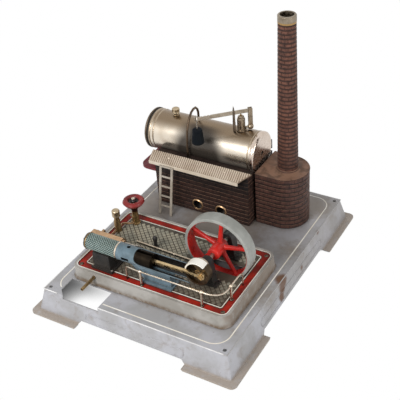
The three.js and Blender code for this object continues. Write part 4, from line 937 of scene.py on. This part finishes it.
def lay_bricks(shape, place, length, height, gaps=lambda level: [], steps=1, brick=BRICK, course=COURSE):
    """Staggered courses over a length and a height."""
    columns = round(length / brick)
    pitch = length / columns
    rows = round(height / course)
    rise = height / rows
    for row in range(rows):
        v = (row * rise + COURSE_JOINT / 2, (row + 1) * rise - COURSE_JOINT / 2)
        shift = pitch / 2 if row % 2 else 0
        for column in range(-1, columns + 1):
            start = max(column * pitch + shift, 0) + BUTT_JOINT / 2
            end = min((column + 1) * pitch + shift, length) - BUTT_JOINT / 2
            if end - start < 3 * BRICK_SLOPE:
                continue
            for u in clear_parts(start, end, gaps((v[0] + v[1]) / 2)):
                shape.pad(place, u, v, BRICK_RISE, BRICK_SLOPE, steps=steps)


def house_bricks():
    """Courses on the house's four walls, with gaps at the portholes, the cradle and the fire door."""
    shape = Shape()
    low, high = house.low, house.high
    width, depth, height = house.size.x, house.size.y, house.size.z - 1
    rings = [Box("porthole_ring_1"), Box("porthole_ring_2")]
    inside_ring = rings[0].size.x / 2 - 1.2

    def portholes(level):
        chords = [chord(r.middle.x - low.x, r.middle.z - DECK, inside_ring, level) for r in rings]
        return [gap for gaps in chords for gap in gaps]

    def end_gaps(level):
        return chord(boiler.middle.y - low.y, boiler.middle.z - DECK, boiler.size.y / 2 + CRADLE_GAP, level)

    def door_gaps(level):
        middle = house.middle.y - low.y
        door = [(middle - DOOR_HALF, middle + DOOR_HALF)] if level < DOOR_HEIGHT else []
        return door + end_gaps(level)

    lay_bricks(shape, lambda u, v, out: (low.x + u, low.y - out, DECK + v), width, height, portholes)
    lay_bricks(shape, lambda u, v, out: (low.x + u, high.y + out, DECK + v), width, height)
    lay_bricks(shape, lambda u, v, out: (low.x - out, low.y + u, DECK + v), depth, height, door_gaps)
    lay_bricks(shape, lambda u, v, out: (high.x + out, low.y + u, DECK + v), depth, height, end_gaps)
    shape.piece("house_bricks", ["brick"])


def tower_outline(u, out):
    """X and Y of a point off the chimney house's wall, from the front left corner round to the back left."""
    bend = math.pi * TOWER_RADIUS
    if u < TOWER_STRAIGHT:
        return tower.low.x + u, tower.low.y - out
    if u < TOWER_STRAIGHT + bend:
        a = (u - TOWER_STRAIGHT) / TOWER_RADIUS - math.pi / 2
        reach = TOWER_RADIUS + out
        x = tower.low.x + TOWER_STRAIGHT + reach * math.cos(a)
        return x, tower.middle.y + reach * math.sin(a)
    return tower.low.x + 2 * TOWER_STRAIGHT + bend - u, tower.high.y + out


def tower_bricks():
    """Courses round the chimney house, and on its flat left side."""
    shape = Shape()
    height = house.high.z - DECK - 1
    left, front = tower.low.x, tower.low.y
    lay_bricks(shape, lambda u, v, out: (*tower_outline(u, out), DECK + v), TOWER_LENGTH, height, steps=3)
    lay_bricks(shape, lambda u, v, out: (left - out, front + u, DECK + v), tower.size.y, height)
    shape.piece("tower_bricks", ["tower"])


def stack_bricks():
    """Courses round the tapered chimney."""
    shape = Shape()
    foot = stack.size.x / 2

    def place(u, v, out):
        radius = foot + foot * (STACK_TAPER - 1) * v / stack.size.z + out
        a = u / foot
        return stack.middle.x + radius * math.cos(a), stack.middle.y + radius * math.sin(a), stack.low.z + v

    around, height = TURN * foot, stack.size.z - 1
    brick, course = around / STACK_BRICKS, height / STACK_COURSES
    lay_bricks(shape, place, around, height, steps=3, brick=brick, course=course)
    shape.piece("stack_bricks", ["stack"])


def roof_edges():
    """Rolled edges round both roofs, and the collar at the stack's foot."""
    shape = Shape()
    level = house.high.z - 0.5
    around = [(*tower_outline(TOWER_LENGTH * i / 60, 0.1), level) for i in range(61)]
    shape.tube(around, ROLL_RADIUS, 8, closed=True)
    for y in (house.low.y, house.high.y):
        shape.tube([(house.low.x, y, level), (house.high.x, y, level)], ROLL_RADIUS, 8)
    foot = stack.size.x / 2
    ring = [(foot + 0.2, 0), (foot + 1.5, 0), (foot + 1.7, 0.8), (foot + 1.1, 1.6), (foot + 0.2, 1.9)]
    shape.turned((stack.middle.x, stack.middle.y, stack.low.z - 0.4), UP, ring, around=True)
    shape.piece("roof_edges", ["tower"])


# ---------------------------------------------------------------- canopy

RIB_PITCH = 3.4
RIB_RADIUS = 1.1
RIVET_XS = (-83, 12)
RIVET_Y = 61
LUG_XS = (-100, -84, 17)
LUG_HALF = 3.5
CANOPY_CUT = 16  # how much shorter the front edge is at the right
CANOPY_RISE = 10.7
CANOPY_SHEET = 1.0
CANOPY_EDGE = canopy.high.z - CANOPY_RISE
CANOPY_NORMAL = (0, -0.58, 0.81)


def canopy_sheet(shape):
    """The sloping sheet, with its right edge cut at a slant."""
    left, right = canopy.low.x, canopy.high.x
    back, front, top = canopy.high.y, canopy.low.y + 0.3, canopy.high.z
    loops = []
    cut = right - CANOPY_CUT
    for x_back, x_front in ((left, left), (cut, cut), (right, cut)):
        loops.append([
            (x_back, back, top - CANOPY_SHEET),
            (x_back, back, top),
            (x_front, front, CANOPY_EDGE + 0.2),
            (x_front, front, CANOPY_EDGE - CANOPY_SHEET),
        ])
    shape.loft(loops)


def canopy_lip(shape):
    """The lip that hangs from the front edge, in a painted highlight."""
    front, low, edge = canopy.low.y, canopy.low.z, CANOPY_EDGE
    section = [
        (front + CANOPY_SHEET, low),
        (front, low),
        (front, edge - 0.3),
        (front + 0.4, edge + 0.25),
        (front + CANOPY_SHEET, edge),
    ]
    ends = (canopy.low.x, canopy.high.x - CANOPY_CUT)
    shape.loft([[(x, y, z) for y, z in section] for x in ends], paint=3)


def canopy_ribs(shape):
    """Pressed ribs that run down the slope, the last ones ending at the cut right edge, in a painted
    highlight.
    """
    back, front, top, right = canopy.high.y, canopy.low.y, canopy.high.z, canopy.high.x
    x = canopy.low.x + RIB_PITCH / 2
    while x < right - RIB_PITCH / 2:
        share = min(1.0, (right - x - 1) / CANOPY_CUT)
        end = (x, back + (front - back) * share + 0.4, top - CANOPY_RISE * share + 0.2)
        shape.tube([(x, back - 0.2, top + 0.05), end], RIB_RADIUS, 6, paint=1, flatten=0.65)
        x += RIB_PITCH


def make_canopy():
    """The canopy's sheet, lip and ribs, its two rivets and the lugs behind it."""
    shape = Shape()
    back, top = canopy.high.y, canopy.high.z
    canopy_sheet(shape)
    canopy_lip(shape)
    canopy_ribs(shape)
    for x in RIVET_XS:
        head = [(1.3, 0), (1.2, 0.5), (0.6, 0.9)]
        shape.turned((x, RIVET_Y, top - CANOPY_RISE * 0.4 + 0.3), CANOPY_NORMAL, head, 12, paint=2)
    for x in LUG_XS:
        shape.slab((x - LUG_HALF, back - 1.2, top - 1.5), (x + LUG_HALF, back - 0.05, top - 0.02), 0.3)
    shape.piece("canopy_sheet", ["cream", "rib", "rail", "lip"], replaces=("canopy",))


# ---------------------------------------------------------------- stand and bed

LINE_INSET = 11.5
LINE_INSET_FRONT = 9
LINE_CORNER = 22
LINE_WIDTH = 1.8
NOTCH_LEFT, NOTCH_RIGHT = -121, -53
FOLD_X, FOLD_Y = stand.high.x - SKIRT, stand.high.y - SKIRT  # the folds at the deck's edges
FOLD_RADIUS = 0.75
BEAD_RADIUS = 0.9
# Half the length of the pressed field on each wall, and the levels of its foot and top.
SIDE_FIELD = (98, 13, 24)
BACK_FIELD = (78, 13, 24)
FRONT_FIELD = (78, 11, 22)
FRONT_FIELD_SHIFT = 5


def deck_line():
    """The cream line printed on the deck, broken by the notch."""
    shape = Shape()
    x = FOLD_X - LINE_INSET
    y = FOLD_Y - LINE_INSET_FRONT
    r = LINE_CORNER
    path = (
        [(NOTCH_RIGHT + 2, -y)]
        + arc(x - r, -y + r, r, -90, 0, 10)
        + arc(x - r, y - r, r, 0, 90, 10)
        + arc(-x + r, y - r, r, 90, 180, 10)
        + arc(-x + r, -y + r, r, 180, 236, 7)
    )
    shape.ribbon(path, LINE_WIDTH, DECK - 0.05, DECK + 0.12)
    shape.piece("deck_line", ["line"], angle=60)


def stand_folds():
    """The folds between the deck and the walls, in the painted highlight, left out at the notch."""
    shape = Shape()
    level = DECK - 0.45
    right = [(NOTCH_RIGHT + 1, -FOLD_Y), (FOLD_X, -FOLD_Y)]
    round_back = [(FOLD_X, -FOLD_Y), (FOLD_X, FOLD_Y), (-FOLD_X, FOLD_Y), (-FOLD_X, -FOLD_Y)]
    left = [(-FOLD_X, -FOLD_Y), (NOTCH_LEFT - 1, -FOLD_Y)]
    for path in (right, round_back, left):
        for a, b in zip(path, path[1:]):
            shape.tube([(*a, level), (*b, level)], FOLD_RADIUS, 8)
    shape.piece("stand_folds", ["fold"])


def wall_bead(shape, place, half, low, high):
    """A pressed bead round a long field of a wall: place(along, height) gives its points."""
    corner = (high - low) / 2
    middle = (low + high) / 2
    loop = arc(half - corner, middle, corner, -90, 90, 8) + arc(-half + corner, middle, corner, 90, 270, 8)
    shape.tube([place(u, v) for u, v in loop], BEAD_RADIUS, 8, closed=True)


def on_wall(sign, faces_along_y):
    """Gives the points of a leaning wall of the stand from a place along it and a height."""

    def place(u, v):
        out = (FOLD_Y if faces_along_y else FOLD_X) + FLARE / DECK * (DECK - v) - 0.25
        return (u, sign * out, v) if faces_along_y else (sign * out, u, v)

    return place


def stand_beads():
    """The beads round the four walls' pressed fields."""
    shape = Shape()
    for sign in (-1, 1):
        wall_bead(shape, on_wall(sign, False), *SIDE_FIELD)
    wall_bead(shape, on_wall(1, True), *BACK_FIELD)
    front = on_wall(-1, True)
    wall_bead(shape, lambda u, v: front(u + FRONT_FIELD_SHIFT, v), *FRONT_FIELD)
    shape.piece("stand_beads", ["stand"])


BED_CORNER = 8  # radius of the bed floor's corners


def red_border():
    """The red border between the bed's rim and the tread plate."""
    outer = rounded_rectangle(bed, RIM + 0.1, BED_CORNER)
    inside = rounded_rectangle(plate, 0.2, 3)
    low, high = BED_FLOOR - 0.1, BED_FLOOR + 0.12
    corners = ((outer, low), (outer, high), (inside, high), (inside, low))
    loops = [[(*point, z) for point in loop] for loop, z in corners]
    red = Shape()
    red.loft(loops, around=True)
    red.piece("red_border", ["floor_red"], angle=60)


def bed_lines():
    """The cream lines on the bed's rim and round the tread plate."""
    lines = Shape()
    rim_line = rounded_rectangle(bed, RIM - 0.5, BED_CORNER + 0.5)
    lines.ribbon(rim_line, 1.1, RIM_TOP - 0.2, RIM_TOP + 0.14, closed=True)
    plate_line = rounded_rectangle(plate, 1.2, 2.5)
    lines.ribbon(plate_line, 1.2, TREAD - 0.2, TREAD + 0.3, closed=True)
    lines.piece("bed_lines", ["line"], angle=60)


def bed_beads():
    """The bed's rolled foot and its rounded brow."""
    beads = Shape()
    for inset, radius, level, thick in ((0.2, 15, DECK + 0.7, 0.9), (2.6, 13, RIM_TOP - 0.55, 0.8)):
        around = rounded_rectangle(bed, inset, radius, 8)
        beads.tube([(*p, level) for p in around], thick, 8, closed=True)
    beads.piece("bed_beads", ["bed"])


DIAMOND_PITCH = 8.2
DIAMOND_HALF = 3.45
DIAMOND_SLOPE = 0.9
DIAMOND_RISE = 0.55
DIAMOND_MARGIN = 6


def tread_diamonds():
    """Raised diamonds over the plate, left out over the flywheel's slot."""
    shape = Shape()
    slot_half = wheel.size.x / 2 + 1
    slot_y = (wheel.low.y - 7, wheel.high.y + 7)
    steps = ((DIAMOND_HALF, -0.3), (DIAMOND_HALF, 0.15), (DIAMOND_HALF - DIAMOND_SLOPE, DIAMOND_RISE))
    rows = int(plate.size.y / DIAMOND_PITCH * 2)
    columns = int(plate.size.x / DIAMOND_PITCH)
    for row in range(rows):
        for column in range(columns):
            x = plate.low.x + DIAMOND_MARGIN + (column + row % 2 / 2) * DIAMOND_PITCH
            y = plate.low.y + DIAMOND_MARGIN + row * DIAMOND_PITCH / 2
            if x > plate.high.x - DIAMOND_MARGIN or y > plate.high.y - DIAMOND_MARGIN:
                continue
            if abs(x - wheel.middle.x) < slot_half and slot_y[0] < y < slot_y[1]:
                continue
            loops = []
            for half, level in steps:
                z = TREAD + level
                loops.append([(x + half, y, z), (x, y + half, z), (x - half, y, z), (x, y - half, z)])
            shape.loft(loops)
    shape.piece("tread_diamonds", ["diamond"], angle=30)


# ---------------------------------------------------------------- moving parts

SPOKES = 5
SPOKE_ANGLE = 11.5
SPOKE_SIDES = 14
WHEEL_SIDES = 96
WHEEL_HALF = 9.5
WHEEL_RIM = 5.2
WHEEL_HUB = 9.0
WHEEL_BORE = 3.2
WHEEL_RADIUS = wheel.size.z / 2
WHEEL_CENTRE = Vector((wheel.middle.x, wheel.high.y - WHEEL_HALF, wheel.middle.z))


def wheel_rim(shape):
    """A crowned rim: its tread is grey and its sides and inside are red."""
    radius, half = WHEEL_RADIUS, WHEEL_HALF
    inner = radius - WHEEL_RIM
    half_tread = [(radius - 0.8, -half), (radius - 0.15, -half + 0.5), (radius, -half + 1.4)]
    tread = half_tread + [(r, -y) for r, y in reversed(half_tread)]
    inside = [
        (inner + 0.8, half),
        (inner, half - 0.8),
        (inner - 0.3, 0),
        (inner, -half + 0.8),
        (inner + 0.8, -half),
    ]
    rows = len(tread + inside)
    shape.turned(WHEEL_CENTRE, BACK, tread + inside, WHEEL_SIDES, around=True)
    grey_rows = [*range(len(tread) - 1), rows - 1]
    for row in range(rows):
        paint = 0 if row in grey_rows else 1
        shape.paints[row * WHEEL_SIDES:(row + 1) * WHEEL_SIDES] = [paint] * WHEEL_SIDES


def wheel_spoke(shape, angle):
    """An oval spoke, stoutest at the hub, that spreads a little into the rim."""
    out = Vector((math.cos(angle), 0, math.sin(angle)))
    across = Vector((-math.sin(angle), 0, math.cos(angle)))
    inner = WHEEL_RADIUS - WHEEL_RIM
    stations = (
        (WHEEL_HUB - 1, 4.6, 3.6),
        (WHEEL_HUB + 3, 3.6, 3.2),
        (WHEEL_RADIUS * 0.6, 3.0, 2.8),
        (inner - 2.5, 3.0, 2.8),
        (inner + 0.4, 4.2, 3.4),
    )
    turns = [TURN * k / SPOKE_SIDES for k in range(SPOKE_SIDES)]
    loops = []
    for reach, wide, thick in stations:
        middle = WHEEL_CENTRE + out * reach
        loops.append([middle + across * wide * math.cos(t) + BACK * thick * math.sin(t) for t in turns])
    shape.loft(loops, paint=1)


def make_flywheel():
    """The flywheel as a casting: a crowned rim with a grey tread, tapered spokes and a turned hub."""
    shape = Shape()
    wheel_rim(shape)
    front = wheel.low.y - WHEEL_CENTRE.y
    hub = [
        (WHEEL_BORE, front),
        (WHEEL_HUB - 1.6, front),
        (WHEEL_HUB - 0.4, front + 1.2),
        (WHEEL_HUB, front + 3),
        (WHEEL_HUB, WHEEL_HALF - 2.4),
        (WHEEL_HUB - 1, WHEEL_HALF - 1.2),
        (WHEEL_BORE, WHEEL_HALF - 1.2),
    ]
    shape.turned(WHEEL_CENTRE, BACK, hub, 40, paint=1, around=True)
    for i in range(SPOKES):
        wheel_spoke(shape, math.radians(SPOKE_ANGLE) + i * TURN / SPOKES)
    shape.piece("flywheel_casting", ["wheel_rim", "wheel_red"], "crank", ("flywheel",), 40)


def handwheel_nut():
    shape = Shape()
    shape.turned(top_of(handwheel, 2.2), UP, [(3.1, 0), (3.1, 1.3), (2.5, 1.9), (1.2, 2.1)], 6)
    shape.piece("handwheel_nut", ["rail"], "regulator_wheel")


CAP_GRIP = 11
PLUG_GRIP = 7
RIDGE_DEPTH = 0.35
# Stations of a milled grip from its foot up: share of the height, inset, and whether it is milled.
GRIP_STATIONS = ((0, 0.8, 0), (0.1, 0.05, 0), (0.14, 0, 1), (0.86, 0, 1), (0.9, 0.05, 0), (1, 0.9, 0))


def top_of(box, depth):
    """The middle of a box, that far below its top."""
    return Vector((box.middle.x, box.middle.y, box.high.z - depth))


def knurled(shape, foot, radius, height, ridges):
    """An upright cylinder with a milled grip and softened ends."""
    loops = []
    for share, inset, milled in GRIP_STATIONS:
        loop = []
        for i in range(ridges * 2):
            r = radius - inset - (RIDGE_DEPTH * milled if i % 2 else 0)
            a = math.pi * i / ridges
            loop.append(foot + Vector((r * math.cos(a), r * math.sin(a), share * height)))
        loops.append(loop)
    shape.loft(loops)


def milled_cap():
    """The lubricator's cap."""
    shape = Shape()
    box = Box("lubricator_cap")
    knurled(shape, top_of(box, CAP_GRIP), box.size.x / 2, CAP_GRIP, 22)
    shape.turned(top_of(box, box.size.z), UP, [(2.3, 0), (2.3, 6)], 16)
    shape.piece("milled_cap", ["cap_brass"], "oiler_cap", ("lubricator_cap",), 30)


def milled_plug():
    """The boiler's filler plug."""
    shape = Shape()
    box = Box("filler_plug")
    knurled(shape, top_of(box, PLUG_GRIP), box.size.x / 2, PLUG_GRIP, 20)
    stem = [(2.9, 0), (2.9, 6), (5.2, 6.05), (5.2, 7.4), (4, 8), (3.2, 8.4), (3.2, 10.5)]
    shape.turned(top_of(box, box.size.z), UP, stem, 24)
    shape.piece("milled_plug", ["cap_brass"], "filler", ("filler_plug",), 30)


# ---------------------------------------------------------------- boiler and cylinder dress


SEAM_CAP_GAP = 3.2
GAUGE_SCREWS = 8
GAUGE_SCREW_RING = 28.6
CLAD_ROWS = 20
CLAD_COLUMNS = 12
SCALE_HALF = 0.4  # of the scales' pitch


def on_ring(centre, radius, share):
    """Y and Z of a point on a circle round the X axis, at a share of the turn."""
    a = TURN * share
    return centre.y + radius * math.cos(a), centre.z + radius * math.sin(a)


def boiler_seams():
    """Rolled seams round the boiler's shell."""
    shape = Shape()
    radius = boiler.size.y / 2
    seams = (
        (boiler.low.x + 8, 1.6, 0.55),
        (boiler.low.x + 1.2, 2.4, 0.7),
        (end_cap.low.x - SEAM_CAP_GAP, 1.5, 0.5),
    )
    for x, wide, proud in seams:
        ring = [
            (radius - 0.3, -wide),
            (radius + proud * 0.5, -wide * 0.6),
            (radius + proud, 0),
            (radius + proud * 0.5, wide * 0.6),
            (radius - 0.3, wide),
        ]
        shape.turned((x, boiler.middle.y, boiler.middle.z), RIGHT, ring, 96, around=True)
    shape.piece("boiler_seams", ["seam"])


def dished_end():
    """The boiler's right end as a pressed cap with a rolled edge and a sunk face."""
    shape = Shape()
    outer = end_cap.size.y / 2
    length = end_cap.size.x
    rolled = [(0, 0.5), (0, length - 3.2), (0.3, length - 2), (1.2, length - 0.8), (2.6, length - 0.2)]
    sunk = [(4, length), (6, length - 0.3), (9, length - 0.6)]
    outside = [(outer - inset, height) for inset, height in [(0.3, 0), *rolled, *sunk]]
    face = [(outer * 0.5, length - 0.7), (outer * 0.1, length - 0.7), (outer * 0.1, length - 1.3)]
    inside = [(outer - 4, length - 1.3), (outer - 0.6, length - 3), (outer - 0.6, 0)]
    centre = (end_cap.low.x, boiler.middle.y, boiler.middle.z)
    shape.turned(centre, RIGHT, outside + face + inside, 96, around=True)
    shape.piece("dished_end", ["cap_nickel"], replaces=("boiler_end_cap",), angle=50)


def gauge_dress():
    """Screws round the gauge's bezel."""
    shape = Shape()
    head = [(1.7, 0), (1.7, 0.4), (1.2, 0.8), (0.5, 0.88)]
    for i in range(GAUGE_SCREWS):
        place = on_ring(boiler.middle, GAUGE_SCREW_RING, (i + 0.5) / GAUGE_SCREWS)
        shape.turned((bezel.low.x + 0.9, *place), -RIGHT, head, 14)
    shape.piece("gauge_screws", ["dark_brass"])


def scale(shape, x, turn, pitch, share_of_turn):
    """One raised scale on the cladding."""
    radius = cladding.size.y / 2 - 0.05
    loops = []
    for size, out in ((1.0, -0.2), (0.9, 0.12), (0.45, 0.42)):
        reach = SCALE_HALF * size
        corners = ((reach, 0), (0, reach), (-reach, 0), (0, -reach))
        loops.append([
            (x + dx * pitch, *on_ring(cladding.middle, radius + out, share_of_turn + da * turn))
            for dx, da in corners
        ])
    shape.loft(loops)


def cladding_scales():
    """Small raised scales in staggered rows round the cylinder's cladding, in a painted highlight."""
    shape = Shape()
    pitch = cladding.size.x / CLAD_COLUMNS
    turn = 1 / CLAD_ROWS
    for row in range(CLAD_ROWS * 2):
        for column in range(CLAD_COLUMNS):
            x = cladding.low.x + (column + 0.25 + row % 2 / 2) * pitch
            scale(shape, x, turn, pitch, row * turn / 2)
    shape.piece("cladding_scales", ["scale"], angle=25)


# Nuts, screws and bolts: width across the flats, and height.
COVER_NUT = (2.6, 1.1)
CHEST_SCREW = (2.6, 1.3)
PEDESTAL_BOLT = (3, 1.2)


def hexagon(shape, place, axis, across, height):
    """A hexagonal head, chamfered on top."""
    radius = across / math.sqrt(3)
    shape.turned(place, axis, [(radius, 0), (radius, height - 0.4), (radius - 0.5, height)], 6)


COVER_NUTS = 6
COVER_NUT_RING = 8.6
CHEST_SCREWS = 4
CHEST_SCREW_PITCH = 13
CHEST_SLOPE = (0, 0.7, 0.7)  # the way the chest's chamfer faces


def cylinder_dress():
    """Rims on the cylinder's covers, their nuts, and the valve chest's screws."""
    shape = Shape()
    middle = cladding.middle
    radius = cladding.size.y / 2
    rolled = [(-0.8, -0.9), (0.7, -0.8), (1, 0), (0.7, 0.8), (-0.8, 0.9)]
    ring = [(radius + proud, height) for proud, height in rolled]
    for x, paint in ((rear_cover.high.x, 1), (front_cover.low.x, 0)):
        shape.turned((x, middle.y, middle.z), RIGHT, ring, 48, around=True, paint=paint)
    for i in range(COVER_NUTS):
        place = on_ring(middle, COVER_NUT_RING, (i + 0.25) / COVER_NUTS)
        hexagon(shape, (rear_cover.low.x + 0.8, *place), -RIGHT, *COVER_NUT)
    for i in range(CHEST_SCREWS):
        place = (chest.low.x + 5 + i * CHEST_SCREW_PITCH, chest.high.y - 2.2, chest.high.z - 3.0)
        hexagon(shape, place, CHEST_SLOPE, *CHEST_SCREW)
    shape.piece("cylinder_fittings", ["steel", "dark_brass"])


def pedestal_bolts():
    """Bolts at the four corners of the cylinder's pedestal."""
    shape = Shape()
    for sx in (-1, 1):
        for sy in (-1, 1):
            x = pedestal.middle.x + sx * (pedestal.size.x / 2 - 2)
            y = pedestal.middle.y + sy * (pedestal.size.y / 2 - 3)
            hexagon(shape, (x, y, TREAD + 2.9), UP, *PEDESTAL_BOLT)
    shape.piece("pedestal_bolts", ["steel"])


CRESCENT = (50, 185)  # degrees, from the right and over the top
CRESCENT_STEPS = 36


def crank_rim_highlight():
    """A painted highlight in cream on the crank disc's edge, over its top and left."""
    shape = Shape()
    centre = Vector((disc.middle.x, disc.low.y, disc.middle.z))
    radius = disc.size.z / 2
    depth = disc.size.y
    band = [
        (radius - 2.2, -0.25),
        (radius - 0.5, -0.25),
        (radius + 0.15, 0.3),
        (radius + 0.15, depth - 0.4),
        (radius - 1, depth - 0.2),
        (radius - 1.2, 3),
        (radius - 2.2, 2),
    ]
    loops = []
    for x, z in arc(0, 0, 1, *CRESCENT, CRESCENT_STEPS):
        loops.append([centre + Vector((x, 0, z)) * r + BACK * y for r, y in band])
    shape.loft(loops)
    shape.piece("crank_rim_highlight", ["line"], "crank", angle=30)


def ladder_rivets():
    """The two pins that hold the ladder's top."""
    shape = Shape()
    box = Box("ladder")
    pin = [(0.9, 0), (0.8, 1.9), (0.3, 2.2)]
    for x in (box.low.x + 1.6, box.high.x - 1.6):
        shape.turned((x, box.high.y - 0.2, box.high.z - 1.6), -BACK, pin, 10)
    shape.piece("ladder_rivets", ["rail"])


make_camera()
make_studio()
FINISHES = make_finishes()
finish_cad_nodes()
house_bricks()
tower_bricks()
stack_bricks()
roof_edges()
make_canopy()
deck_line()
stand_folds()
stand_beads()
red_border()
bed_lines()
bed_beads()
tread_diamonds()
make_flywheel()
handwheel_nut()
milled_cap()
milled_plug()
boiler_seams()
dished_end()
gauge_dress()
cladding_scales()
cylinder_dress()
pedestal_bolts()
crank_rim_highlight()
ladder_rivets()
